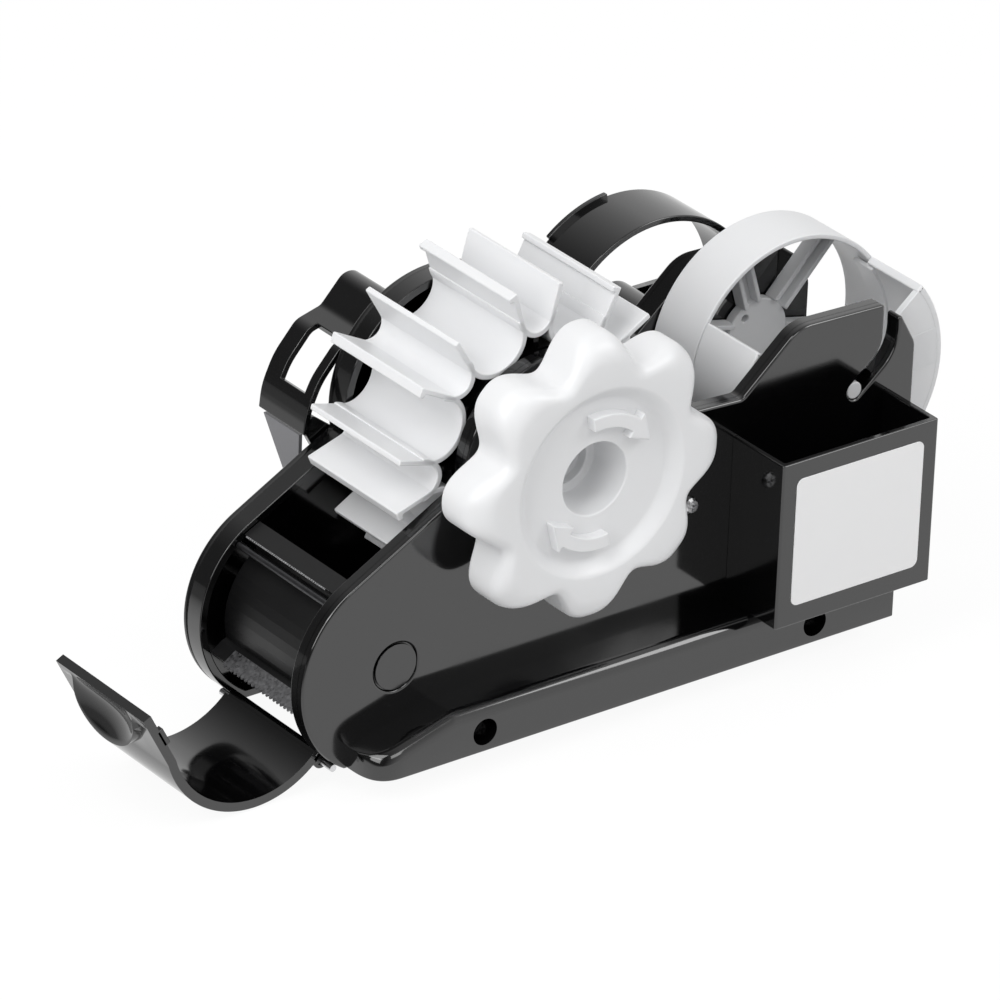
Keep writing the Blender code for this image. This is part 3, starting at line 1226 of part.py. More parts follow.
def arm_gusset():
    """The grey three-cornered plate under the arm's lower lip."""
    near = LEFT_OUT + GAP + ARM_PLATE_THICK + GAP
    far = LEFT_OUT + GAP + ARM_WIDTH
    high = ARM_LIP_Z - ARM_WALL / 2
    low = high - GUSSET_DROP
    outline = [(near, low), (near + GUSSET_FOOT, low), (far - GUSSET_INSET, high), (near, high)]
    at = Vector((ARM_LIP_X, 0, 0))
    plate = sheet("arm_gusset", outline, at, Vector((0, 1, 0)), Vector((0, 0, 1)), GUSSET_THICK)
    return finish(plate, "grey_plastic")


def guide_roller():
    """The small roller under the arm's hook."""
    near = LEFT_OUT + GAP + ARM_PLATE_THICK + GAP
    far = LEFT_OUT + GAP + ARM_WIDTH
    at = (ROLLER_X, 0, ROLLER_Z)
    roller = turned("guide_roller", [(ROLLER_PIN_R + GAP, near), (ROLLER_R, near), (ROLLER_R, far),
                                     (ROLLER_PIN_R + GAP, far)], at, SMALL_STEPS)
    pin = cylinder("roller_pin", ROLLER_PIN_R, LEFT_OUT + GAP + ARM_PLATE_THICK, far + GAP, at, SMALL_STEPS)
    finish(roller, "grey_plastic")
    finish(pin, "steel")


# Pen box and label

def pen_box():
    """An open-topped box against the right plate, which closes its back."""
    left, right = BOX_FRONT_X, BOX_FRONT_X + BOX_LENGTH
    near, far = RIGHT_OUT, RIGHT_OUT - BOX_DEPTH
    low = UNDERSIDE + FOOT_HEIGHT + GAP
    high = low + BOX_HEIGHT
    box = block("pen_box", (left, far, low), (right, near, high))
    cut(box, block("pen_box_inside", (left + BOX_WALL, far + BOX_WALL, low + BOX_WALL),
                   (right - BOX_WALL, near + OVERRUN, high + OVERRUN)))
    return finish(box, "black_plastic", smooth=False)


def label_plate():
    """The bare white label on the front of the box."""
    far = RIGHT_OUT - BOX_DEPTH
    low = UNDERSIDE + FOOT_HEIGHT + GAP
    left, right = BOX_FRONT_X + LABEL_SIDE, BOX_FRONT_X + BOX_LENGTH - LABEL_SIDE
    foot, top = low + LABEL_FOOT, low + BOX_HEIGHT - LABEL_TOP
    r = LABEL_ROUND
    outline = fillet([(left, foot, r), (right, foot, r), (right, top, r), (left, top, r)])
    return finish(prism("label_plate", outline, far - LABEL_THICK, far), "label")


def place_model():
    """Move the parent empty so that the middle of the model's box stands over the origin."""
    bpy.context.view_layer.update()
    graph = bpy.context.evaluated_depsgraph_get()
    low = np.full(3, np.inf)
    high = np.full(3, -np.inf)
    for obj in bpy.data.objects:
        if obj.type != "MESH" or obj.hide_render:
            continue
        done = obj.evaluated_get(graph)
        corners = np.array([done.matrix_world @ Vector(c) for c in done.bound_box])
        low = np.minimum(low, corners.min(axis=0))
        high = np.maximum(high, corners.max(axis=0))
    middle = (low + high) / 2
    ROOT.location = (-middle[0], -middle[1], -low[2])
    bpy.context.view_layer.update()


def build():
    """Build every piece of the dispenser."""
    right_plate()
    left_plate()
    base_floor()
    for name, x, z in rod_places():
        tie_rod(name, x, z, NOSE_ROD_R if name == "nose_rod" else ROD_R)
    frame_screws()
    rubber_feet()
    nose_chute()
    blades()
    front_cover()
    hinge_pin()
    for index in range(STATIONS):
        paddle(index)
    wheel_core()
    wheel_shaft()
    bush("wheel_bush_right", RIGHT_IN, RIGHT_OUT)
    bush("wheel_bush_left", LEFT_IN, LEFT_OUT)
    shaft_clip()
    knob()
    knob_screw()
    core_left_half()
    core_right_half()
    side_core()
    side_axle()
    guide_arm()
    arm_screws()
    arm_gusset()
    guide_roller()
    pen_box()
    label_plate()
    place_model()


clear_scene()
ROOT = bpy.data.objects.new("dispenser_frame", None)
bpy.context.scene.collection.objects.link(ROOT)
build()
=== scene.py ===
"""Looks of a multi-roll tape dispenser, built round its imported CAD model.

Sizes are in millimetres and places are in the design frame: X runs to the rear from the
wheel's axis, Y runs to the left from the middle between the side plates, and Z runs up
from a level 86.9 mm below the axis. One function turns them into the model's metres.
Every new shape is worked out as whole arrays: a flat outline with rounded edges, a row
of sections, or a grid of angle and radius.
"""

import json  # noqa: E402
import logging  # noqa: E402
import math  # noqa: E402
from dataclasses import dataclass, field  # noqa: E402
from enum import Enum  # noqa: E402
from typing import Sequence  # noqa: E402

import bpy  # noqa: E402
import numpy as np  # noqa: E402
from mathutils import Matrix, Vector  # noqa: E402
from mathutils.geometry import tessellate_polygon  # noqa: E402

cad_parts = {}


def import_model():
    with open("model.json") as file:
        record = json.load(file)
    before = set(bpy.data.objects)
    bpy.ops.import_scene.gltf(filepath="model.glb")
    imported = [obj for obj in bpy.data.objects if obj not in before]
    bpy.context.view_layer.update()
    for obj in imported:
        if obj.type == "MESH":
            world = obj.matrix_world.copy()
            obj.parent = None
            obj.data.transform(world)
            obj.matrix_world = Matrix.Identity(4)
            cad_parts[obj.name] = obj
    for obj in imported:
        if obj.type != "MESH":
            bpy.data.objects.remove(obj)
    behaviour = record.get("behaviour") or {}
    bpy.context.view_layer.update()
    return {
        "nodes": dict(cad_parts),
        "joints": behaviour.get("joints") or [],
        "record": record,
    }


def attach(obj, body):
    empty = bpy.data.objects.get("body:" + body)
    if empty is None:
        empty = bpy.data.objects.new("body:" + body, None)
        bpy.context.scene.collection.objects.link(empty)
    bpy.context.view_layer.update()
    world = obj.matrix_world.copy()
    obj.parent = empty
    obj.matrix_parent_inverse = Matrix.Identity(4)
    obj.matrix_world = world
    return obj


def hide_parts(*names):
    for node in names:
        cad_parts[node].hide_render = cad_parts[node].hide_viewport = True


LOG = logging.getLogger("dispenser")
Array = np.ndarray
Pair = tuple[float, float]
Triple = tuple[float, float, float]
Tree = bpy.types.NodeTree
Socket = bpy.types.NodeSocket

MM = 0.001
AXIS_HEIGHT = 86.9
WHITE = (1.0, 1.0, 1.0, 1.0)

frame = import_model()
ORIGIN = np.array(next(j for j in frame["joints"] if j["name"] == "wheel_turn")["pos_m"]) - [
    0.0, 0.0, AXIS_HEIGHT * MM]


# Finishes


def feed(tree: Tree, node: bpy.types.Node, inputs: dict[str | int, object]) -> None:
    """Set or link a node's inputs.

    Args:
        tree: the nodes of a material or of the world.
        node: the node that takes them.
        inputs: for each input, by its name or number, a value or another node's output.
    """
    for key, value in inputs.items():
        if isinstance(value, Socket):
            tree.links.new(value, node.inputs[key])
        else:
            node.inputs[key].default_value = value


def add_node(tree: Tree, kind: str, inputs: dict[str | int, object] | None = None,
             **settings: str) -> bpy.types.Node:
    """Add a shader node.

    Args:
        tree: the nodes of a material or of the world.
        kind: the node's type, such as TexCoord.
        inputs: its inputs, as feed takes them.
        settings: its own properties.

    Returns:
        The node.
    """
    node = tree.nodes.new(f"ShaderNode{kind}")
    for name, value in settings.items():
        setattr(node, name, value)
    feed(tree, node, inputs or {})
    return node


class Slot(Enum):
    """The record's material slots."""

    BLACK = "black"
    WHITE = "white"
    GREY = "light_grey"
    STEEL = "steel"
    RUBBER = "rubber"
    LABEL = "label"


GRAIN_LAYERS = 3.0
PATCH_LAYERS = 4.0
NOISE_SPAN = (0.3, 0.7)
GLOW_RADIUS = (1.0, 0.9, 0.8)
GLOW_DEPTH = 1.2


@dataclass(frozen=True)
class Finish:
    """A surface finish: its colour and gloss, and the fine unevenness that breaks them up.

    grain is the size of the surface's small waves in millimetres and relief their height;
    drift is how much the roughness wanders, over patches of the size patch; streak
    stretches the grain along X, as on drawn or ground steel. depth is how far the plastic
    lets light in, and index is its refractive index.
    """

    name: str
    slot: Slot
    colour: Triple
    roughness: float
    metallic: float = 0.0
    grain: float = 1.5
    relief: float = 0.002
    drift: float = 0.04
    patch: float = 18.0
    tint: float = 0.03
    streak: float = 1.0
    depth: float = 0.0
    index: float = 1.5

    def material(self) -> bpy.types.Material:
        """The finish as a material with procedural nodes, made once.

        Returns:
            The material, which every piece of this finish shares.
        """
        made = bpy.data.materials.get(self.name)
        if made is not None:
            return made
        mat = bpy.data.materials.new(self.name)
        mat.use_nodes = True
        tree = mat.node_tree
        where = add_node(tree, "TexCoord").outputs["Object"]
        stretched = add_node(tree, "Mapping", {"Vector": where, "Scale": (1.0 / self.streak, 1.0, 1.0)})
        grain = self.noise(tree, stretched.outputs["Vector"], self.grain, GRAIN_LAYERS)
        bump = add_node(tree, "Bump", {"Distance": self.relief * MM, "Strength": 1.0, "Height": grain})
        patches = self.noise(tree, where, self.patch, PATCH_LAYERS)
        low, high = NOISE_SPAN
        rough = add_node(tree, "MapRange", {
            "Value": patches, "From Min": low, "From Max": high,
            "To Min": self.roughness - self.drift, "To Max": self.roughness + self.drift})
        dark, light = [(*[c * share for c in self.colour], 1.0) for share in (1 - self.tint, 1 + self.tint)]
        shade = add_node(tree, "Mix", {"Factor": patches, "A": dark, "B": light}, data_type="RGBA")
        inputs = {"Metallic": self.metallic, "IOR": self.index, "Normal": bump.outputs["Normal"],
                  "Roughness": rough.outputs["Result"], "Base Color": shade.outputs["Result"]}
        if self.depth > 0:
            inputs |= {"Subsurface Weight": self.depth, "Subsurface Radius": GLOW_RADIUS,
                       "Subsurface Scale": GLOW_DEPTH * MM}
        feed(tree, tree.nodes["Principled BSDF"], inputs)
        return mat

    def noise(self, tree: Tree, vector: Socket, size: float,
              layers: float) -> Socket:
        """A noise pattern whose waves are about as long as size.

        Args:
            tree: the material's nodes.
            vector: where the pattern is read.
            size: length of a wave, in millimetres.
            layers: how many finer layers it has.

        Returns:
            The pattern, about 0 to 1.
        """
        node = add_node(tree, "TexNoise", {"Vector": vector, "Scale": 1.0 / (size * MM), "Detail": layers})
        return node.outputs["Fac"]


GLOSS_BLACK = Finish("gloss_black_plastic", Slot.BLACK, (0.0022, 0.0022, 0.0024), 0.09, grain=2.4,
                     relief=0.0010, drift=0.025, tint=0.1, index=1.78)
SATIN_BLACK = Finish("satin_black_plastic", Slot.BLACK, (0.0040, 0.0040, 0.0043), 0.38, grain=1.6,
                     relief=0.003)
SATIN_WHITE = Finish("satin_white_plastic", Slot.WHITE, (0.81, 0.815, 0.825), 0.34, grain=1.1,
                     relief=0.0018, drift=0.05, tint=0.012, depth=0.03)
PALE_PLASTIC = Finish("pale_core_plastic", Slot.GREY, (0.77, 0.775, 0.785), 0.36, grain=1.1,
                      relief=0.002, drift=0.05, tint=0.015, depth=0.08)
GREY_PLASTIC = Finish("mid_grey_plastic", Slot.GREY, (0.17, 0.17, 0.18), 0.30, grain=1.4, relief=0.002)
BRIGHT_STEEL = Finish("bright_steel", Slot.STEEL, (0.66, 0.66, 0.67), 0.24, metallic=1.0, grain=0.35,
                      relief=0.001, drift=0.07, patch=3.0, tint=0.05, streak=8.0)
BLADE_STEEL = Finish("worn_blade_steel", Slot.STEEL, (0.30, 0.30, 0.31), 0.36, metallic=1.0, grain=0.6,
                     relief=0.004, drift=0.14, patch=0.9, tint=0.45)
DARK_STEEL = Finish("oiled_dark_steel", Slot.STEEL, (0.10, 0.10, 0.105), 0.34, metallic=1.0, grain=0.5,
                    relief=0.001, drift=0.06, patch=3.0, tint=0.08)
BLACK_RUBBER = Finish("black_rubber", Slot.RUBBER, (0.02, 0.02, 0.02), 0.78, grain=0.6, relief=0.03,
                      drift=0.08, patch=6.0, tint=0.12)
LABEL_FILM = Finish("white_label_film", Slot.LABEL, (0.92, 0.92, 0.925), 0.42, grain=0.7, relief=0.0015,
                    drift=0.05, patch=9.0, tint=0.008)


# Outlines


ARC_STEP = math.radians(3.0)
FILLET_STEP = math.radians(6.0)
NEARLY_STRAIGHT = math.radians(89.0)
SAME_POINT = 1e-4
BEND = 14.0
CORNER = 25.0
SHARP = 30.0


def arc(cx: float, cz: float, r: float, start: float, end: float, steps: int = 0) -> Array:
    """Points along an arc, both ends included: centre plus r times (cos a, sin a).

    Args:
        cx: first coordinate of the centre.
        cz: second coordinate of the centre.
        r: radius.
        start: first angle, in radians.
        end: last angle, in radians.
        steps: number of segments, or 0 for one each three degrees.

    Returns:
        The points, one per row.
    """
    count = steps or max(2, round(abs(end - start) / ARC_STEP))
    a = np.linspace(start, end, count + 1)
    return np.stack([cx + r * np.cos(a), cz + r * np.sin(a)], axis=1)


def circle(cx: float, cz: float, r: float, steps: int = 96) -> Array:
    """A closed circle of points, without a repeated last point."""
    return arc(cx, cz, r, 0.0, 2 * math.pi, steps)[:-1]


def oblong(left: float, right: float, low: float, high: float) -> Array:
    """The four corners of an upright oblong."""
    return np.array([(left, low), (right, low), (right, high), (left, high)])


def sector(inner: float, outer: float, start: float, end: float, steps: int) -> Array:
    """The outline about the origin of a curved strip between two radii and two angles."""
    return np.vstack([arc(0, 0, outer, start, end, steps), arc(0, 0, inner, end, start, steps)])


def fillet(corners: Sequence[Sequence[float]], closed: bool = True) -> Array:
    """Round the corners of a polyline: each corner gives way to an arc tangent to both sides.

    Args:
        corners: (x, z, radius) of each corner.
        closed: whether the last corner joins the first.

    Returns:
        The points of the rounded line.
    """
    out: list[Array] = []
    count = len(corners)
    for i, (x, z, r) in enumerate(corners):
        here = np.array([x, z], float)
        if r <= 0 or (not closed and i in (0, count - 1)):
            out.append(here[None])
            continue
        before = np.array(corners[i - 1][:2]) - here
        after = np.array(corners[(i + 1) % count][:2]) - here
        lengths = np.linalg.norm(before), np.linalg.norm(after)
        before, after = before / lengths[0], after / lengths[1]
        half = math.acos(float(np.clip(before @ after, -1, 1))) / 2
        if half > NEARLY_STRAIGHT:
            out.append(here[None])
            continue
        run = min(r / math.tan(half), lengths[0] / 2, lengths[1] / 2)
        r = run * math.tan(half)
        both = before + after
        middle = here + both / np.linalg.norm(both) * (r / math.sin(half))
        first, last = here + before * run - middle, here + after * run - middle
        turn = math.atan2(first[0] * last[1] - first[1] * last[0], float(first @ last))
        start = math.atan2(first[1], first[0])
        steps = max(3, round(abs(turn) / FILLET_STEP))
        out.append(arc(middle[0], middle[1], r, start, start + turn, steps))
    return np.concatenate(out)


def soften(loop: Array, radius: float, corner: float = BEND) -> Array:
    """Round every corner of a closed outline that turns by more than a few degrees.

    Args:
        loop: the outline.
        radius: radius of the rounding.
        corner: the least turn that counts as a corner, in degrees.

    Returns:
        The rounded outline.
    """
    step = np.roll(loop, -1, axis=0) - loop
    back = loop - np.roll(loop, 1, axis=0)
    cross = back[:, 0] * step[:, 1] - back[:, 1] * step[:, 0]
    turn = np.degrees(np.arctan2(cross, (back * step).sum(axis=1)))
    radii = np.where(np.abs(turn) > corner, radius, 0.0)
    return fillet(np.column_stack([loop, radii]))


def leftward(path: Array, closed: bool) -> Array:
    """At each point of a line, the step to its left that keeps an even distance at a bend.

    It is the mean of the two sides' normals, lengthened by one over the cosine of half the turn.

    Args:
        path: the line's points.
        closed: whether the line is a loop.

    Returns:
        One two-number step per point.
    """
    ahead = np.roll(path, -1, axis=0) - path if closed else np.diff(path, axis=0)
    ahead = ahead / np.linalg.norm(ahead, axis=1)[:, None]
    normal = np.stack([-ahead[:, 1], ahead[:, 0]], axis=1)
    if closed:
        before = np.roll(normal, 1, axis=0)
        after = normal
    else:
        before = np.vstack([normal[:1], normal])
        after = np.vstack([normal, normal[-1:]])
    side = before + after
    side = side / np.linalg.norm(side, axis=1)[:, None]
    return side / np.maximum((side * after).sum(axis=1), 0.3)[:, None]


def band(path: Array, width: float) -> Array:
    """The closed outline of a strip of even width along an open line."""
    side = leftward(path, closed=False) * width / 2
    return np.vstack([path + side, (path - side)[::-1]])


def tidy(loop: Array) -> Array:
    """A closed outline without points that lie on their neighbour, turned anticlockwise."""
    keep = np.linalg.norm(loop - np.roll(loop, 1, axis=0), axis=1) > SAME_POINT
    loop = loop[keep]
    ahead = np.roll(loop, -1, axis=0)
    area = (loop[:, 0] * ahead[:, 1] - loop[:, 1] * ahead[:, 0]).sum()
    return loop if area > 0 else loop[::-1]


def turned(points: Array, angle: float) -> Array:
    """Flat points turned about the origin by an angle in radians."""
    c, s = math.cos(angle), math.sin(angle)
    return points @ np.array([[c, s], [-s, c]])


# Skins


@dataclass
class Skin:
    """A mesh in the making: points in millimetres, faces, and the way each point faces."""

    points: Array
    faces: list[Sequence[int]]
    normals: Array | None = None

    def __add__(self, other: "Skin") -> "Skin":
        """Both skins as one mesh."""
        base = len(self.points)
        faces = list(self.faces) + [[i + base for i in f] for f in other.faces]
        normals = None
        if self.normals is not None and other.normals is not None:
            normals = np.vstack([self.normals, other.normals])
        return Skin(np.vstack([self.points, other.points]), faces, normals)

    def outward(self) -> "Skin":
        """The same closed skin with every face pointing out, found from its signed volume."""
        total = 0.0
        for face in self.faces:
            corner = self.points[list(face)]
            fan = np.cross(corner[1:-1], corner[2:])
            total += float((fan @ corner[0]).sum())
        if total < 0:
            self.faces = [list(face)[::-1] for face in self.faces]
        return self


def join(skins: Sequence[Skin]) -> Skin:
    """Several skins as one mesh."""
    whole = skins[0]
    for skin in skins[1:]:
        whole = whole + skin
    return whole


def grid_faces(rows: int, cols: int, wrap_rows: bool = False, wrap_cols: bool = False,
               base: int = 0) -> list[list[int]]:
    """Four-sided faces over a grid of points that is stored row by row.

    Args:
        rows: number of rows of points.
        cols: number of points in a row.
        wrap_rows: whether the last row joins the first.
        wrap_cols: whether the last point of a row joins its first.
        base: index of the grid's first point.

    Returns:
        The faces as lists of four indices.
    """
    i = np.arange(rows if wrap_rows else rows - 1)[:, None]
    j = np.arange(cols if wrap_cols else cols - 1)[None, :]
    a, b = i * cols + j, i * cols + (j + 1) % cols
    c, d = (i + 1) % rows * cols + (j + 1) % cols, (i + 1) % rows * cols + j
    return (np.stack([a, b, c, d], axis=-1).reshape(-1, 4) + base).tolist()


def fill(loops: Sequence[Array], starts: Sequence[int]) -> list[list[int]]:
    """Triangles that fill a flat outline with holes.

    Args:
        loops: the outline, then its holes.
        starts: index of each loop's first point in the mesh.

    Returns:
        Triangles as indices of the mesh's points.
    """
    lines = [[Vector((x, z, 0.0)) for x, z in loop.tolist()] for loop in loops]
    index = np.concatenate([np.arange(len(loop)) + start for loop, start in zip(loops, starts)])
    tris = np.array(tessellate_polygon(lines))
    a, b, c = np.concatenate(loops)[tris].transpose(1, 2, 0)
    backwards = (b[0] - a[0]) * (c[1] - a[1]) - (b[1] - a[1]) * (c[0] - a[0]) <= 0
    tris[backwards] = tris[backwards, ::-1]
    return index[tris].tolist()


def in_space(flat: Array, height: float | Array, axis: str) -> Array:
    """Flat points at a height along an axis: (x, h, z) for Y, (x, y, h) for Z, (h, y, z) for X."""
    h = np.broadcast_to(np.asarray(height, float), (len(flat),))
    order = {"Y": (0, 2, 1), "Z": (0, 1, 2), "X": (2, 0, 1)}[axis]
    return np.stack([flat[:, 0], flat[:, 1], h], axis=1)[:, order]


def slab(loops: Sequence[Array], low: float, high: float, round_low: float = 0.3,
         round_high: float = 0.3, axis: str = "Y", steps: int = 4) -> Skin:
    """A flat outline with holes, given a thickness and rounded edges.

    Each outline is carried through a row of stations. At a rounded edge the station at angle
    t lies r(1 - sin t) inside the outline and r(1 - cos t) above the face, so that the edge
    is a quarter circle. The two flat faces are filled with triangles.

    Args:
        loops: the outline and its holes.
        low: place of the lower face along the axis.
        high: place of the upper face along the axis.
        round_low: radius of the lower face's edge.
        round_high: radius of the upper face's edge.
        axis: the direction of the thickness.
        steps: segments in a rounded edge.

    Returns:
        The closed skin, with exact normals.
    """
    t = np.linspace(0, math.pi / 2, steps + 1 if round_low > 0 else 2)
    u = np.linspace(math.pi / 2, 0, steps + 1 if round_high > 0 else 2)
    inset = np.concatenate([round_low * (1 - np.sin(t)), round_high * (1 - np.sin(u))])
    height = np.concatenate([low + round_low * (1 - np.cos(t)), high - round_high * (1 - np.cos(u))])
    lift = np.concatenate([-np.cos(t), np.cos(u)])
    points, normals, faces, ends = [], [], [], ([], [])
    starts: tuple[list[int], list[int]] = ([], [])
    base = 0
    for k, loop in enumerate(loops):
        loop = tidy(loop) if k == 0 else tidy(loop)[::-1]
        side = leftward(loop, closed=True)
        unit = side / np.linalg.norm(side, axis=1)[:, None]
        for d, h, up in zip(inset, height, lift):
            points.append(in_space(loop + side * d, h, axis))
            normals.append(in_space(-unit * math.sqrt(max(0.0, 1 - up * up)), up, axis))
        rows, count = len(inset), len(loop)
        faces += grid_faces(rows, count, wrap_cols=True, base=base)
        ends[0].append(loop + side * inset[0])
        ends[1].append(loop + side * inset[-1])
        starts[0].append(base)
        starts[1].append(base + (rows - 1) * count)
        base += rows * count
    faces += [f[::-1] for f in fill(ends[0], starts[0])]
    faces += fill(ends[1], starts[1])
    return Skin(np.vstack(points), faces, np.vstack(normals)).outward()


def loft(sections: Array) -> Skin:
    """A skin over a row of closed sections, with its two ends filled.

    Args:
        sections: an array of section, point, and coordinate.

    Returns:
        The closed skin.
    """
    rows, count = sections.shape[:2]
    faces = grid_faces(rows, count, wrap_cols=True)
    faces += [list(range(count))[::-1], list(range((rows - 1) * count, rows * count))]
    return Skin(sections.reshape(-1, 3), faces).outward()


def world(points: Array) -> Array:
    """Places in the design frame, in millimetres, as metres in the model's frame."""
    return ORIGIN + np.asarray(points, float) * MM


def piece(name: str, skin: Skin, finish: Finish, body: str, replaces: Sequence[str] = (),
          crease: float = 32.0, bevel: float = 0.0) -> bpy.types.Object:
    """Make an object of a skin, dress it, and let it ride on its body.

    Args:
        name: the piece's name.
        skin: its mesh.
        finish: its surface.
        body: the CAD body that carries it.
        replaces: the CAD nodes that it stands for.
        crease: the least angle of a sharp edge, in degrees, where the skin has no normals.
        bevel: width of a bevel along sharp edges, or 0 for none.

    Returns:
        The object.
    """
    mesh = bpy.data.meshes.new(name)
    mesh.from_pydata(world(skin.points).tolist(), [], skin.faces)
    mesh.shade_smooth()
    if skin.normals is not None:
        mesh.normals_split_custom_set_from_vertices(skin.normals.tolist())
    else:
        mesh.set_sharp_from_angle(angle=math.radians(crease))
    obj = bpy.data.objects.new(name, mesh)
    bpy.context.scene.collection.objects.link(obj)
    obj.data.materials.append(finish.material())
    if bevel > 0:
        mod = obj.modifiers.new("edge", "BEVEL")
        mod.width = bevel * MM
        mod.segments = 2
        mod.limit_method = "ANGLE"
        mod.angle_limit = math.radians(crease)
        mod.harden_normals = True
    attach(obj, body)
    if replaces:
        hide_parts(*replaces)
    return obj


# Sub-assemblies


RAIL_CREASE = 38.0


@dataclass
class SidePlate:
    """One of the two side plates, with its foot rail."""

    name: str
    inner: float
    outer: float
    hump: float
    underside: float = 4.0
    nose: Triple = (-52.7, 32.2, 33.0)
    slope: float = math.radians(29.0)
    hump_foot: float = 86.2
    ledge: float = 84.1
    tower_foot: float = 70.3
    tower_front: Pair = (90.4, 101.9)
    tower_rear: Pair = (126.2, 100.8)
    rear: Triple = (134.9, 85.5, 64.0)
    rear_foot: float = 123.0
    rim: float = 2.6
    panel: float = 2.6
    pocket_end: float = 62.0
    slot_x: float = 125.2
    slot_half: float = 2.8
    slot_rise: float = math.radians(40.0)
    seat: Pair = (112.8, 75.2)
    edge: float = 0.9
    rim_edge: float = 0.35
    lap: float = 0.3
    mark: float = 7.2
    mark_wide: float = 0.35
    mark_deep: float = 1.0
    mark_edge: float = 0.12
    mark_lap: float = 0.05
    bore: float = 6.0
    rail_reach: float = 13.3
    rail_height: float = 15.1
    rail_drop: float = 8.2
    rail_front: float = -68.6
    rail_nose: float = 11.0
    rail_slope_end: float = -40.5
    rail_rear: float = 120.5
    rail_round: float = 4.0
    rail_tail: float = 2.0
    rail_tail_drop: float = 1.6
    rail_foot_round: float = 0.8
    rail_root: float = -1.0
    rail_least: float = 0.4
    well: Triple = (4.2, 11.0, 10.6)
    well_x: Pair = (-30.3, 90.7)
    well_overrun: float = 3.0

    @property
    def sign(self) -> float:
        """The way the outer face looks along Y: 1 on the left plate, -1 on the right one."""
        return 1.0 if self.outer > self.inner else -1.0

    def nose_and_hump(self, inset: float) -> Array:
        """Nose arc, slope and hump arc.

        Args:
            inset: how far inside the outline they run, as arcs of a smaller radius.

        Returns:
            The points, from the nose's foot over the hump to its rear foot.
        """
        nx, nz, nr = self.nose
        r = nr - inset
        start = math.pi + math.asin((nz - self.underside - inset) / r)
        first = arc(nx, nz, r, start, math.pi / 2 + self.slope)
        along = np.array([math.cos(self.slope), math.sin(self.slope)])
        hump = self.hump - inset
        to_axis = np.array([0.0, AXIS_HEIGHT]) - first[-1]
        near = float(to_axis @ along)
        off = float(to_axis[0] * along[1] - to_axis[1] * along[0])
        meet = first[-1] + along * (near - math.sqrt(hump ** 2 - off ** 2))
        begin = math.atan2(meet[1] - AXIS_HEIGHT, meet[0]) % (2 * math.pi)
        end = math.asin((self.hump_foot - inset - AXIS_HEIGHT) / hump)
        return np.vstack([first, arc(0.0, AXIS_HEIGHT, hump, begin, end)])

    def slot_sides(self) -> tuple[Array, Array, Array]:
        """The J-shaped slot's edges.

        Returns:
            Its front side, its round end and its rear side.
        """
        knee = self.seat[1] + (self.slot_x - self.seat[0]) * math.tan(self.slot_rise)
        path = fillet([(self.slot_x, self.tower_front[1], 0), (self.slot_x, knee, 12.0), (*self.seat, 0)],
                      closed=False)
        side = leftward(path, closed=False) * self.slot_half
        heading = self.slot_rise + math.pi
        end = arc(*self.seat, self.slot_half, heading - math.pi / 2, heading + math.pi / 2, 24)
        return (path - side)[:-1], end, (path + side)[:-1][::-1]

    def outline(self) -> Array:
        """The plate's outline, clockwise from the underside, with the slot let into it.

        Returns:
            The rounded outline.
        """
        (fx, fz), (rx, rz) = self.tower_front, self.tower_rear
        front, end, back = self.slot_sides()
        fall = (rz - fz) / (rx - fx)
        front[0, 1] = fz + (front[0, 0] - fx) * fall
        drop = (self.rear[1] - rz) / (self.rear[0] - rx)
        back[-1, 1] = rz + (back[-1, 0] - rx) * drop
        slot = np.vstack([front[1:], end, back[:-1]])
        corners = [(x, z, 0.0) for x, z in self.nose_and_hump(0.0)]
        corners += [(self.tower_foot, self.ledge, 3.0), (fx, fz, 12.0), (*front[0], 1.2)]
        corners += [(x, z, 0.0) for x, z in slot]
        corners += [(*back[-1], 1.4), (self.rear[0], self.rear[1], 6.0), (self.rear[0], self.rear[2], 6.0),
                    (self.rear_foot, self.underside, 1.0)]
        return soften(fillet(corners), 1.0)

    def pocket(self) -> Array:
        """The hollow of the plate's inner side, a rim's width inside the outline."""
        high, low = self.ledge - self.rim, self.underside + self.rim
        ends = np.array([(self.pocket_end, high), (self.pocket_end, low)])
        return soften(np.vstack([self.nose_and_hump(self.rim), ends]), 1.5)

    def shell(self) -> Skin:
        """The plate: outer face with its mark, rounded edge, rim, hollow and bore.

        Returns:
            The plate as one mesh.
        """
        deep = abs(self.outer - self.inner)
        axle = circle(0, AXIS_HEIGHT, self.bore)
        nx, nz, _ = self.nose
        under = deep - self.mark_deep
        rim = slab([self.outline(), self.pocket()], 0.0, deep - self.panel + self.lap, self.rim_edge, 0.0)
        face = slab([self.outline(), axle], deep - self.panel, under, 0.0, 0.0)
        top = slab([self.outline(), axle, circle(nx, nz, self.mark + self.mark_wide)],
                   under - self.mark_lap, deep, 0.0, self.edge)
        disc = slab([circle(nx, nz, self.mark)], under - self.mark_lap, deep, 0.0, self.mark_edge)
        whole = join([rim, face, top, disc])
        whole.points[:, 1] = self.inner + self.sign * whole.points[:, 1]
        whole.normals[:, 1] *= self.sign
        if self.sign < 0:
            whole.faces = [list(f)[::-1] for f in whole.faces]
        return whole

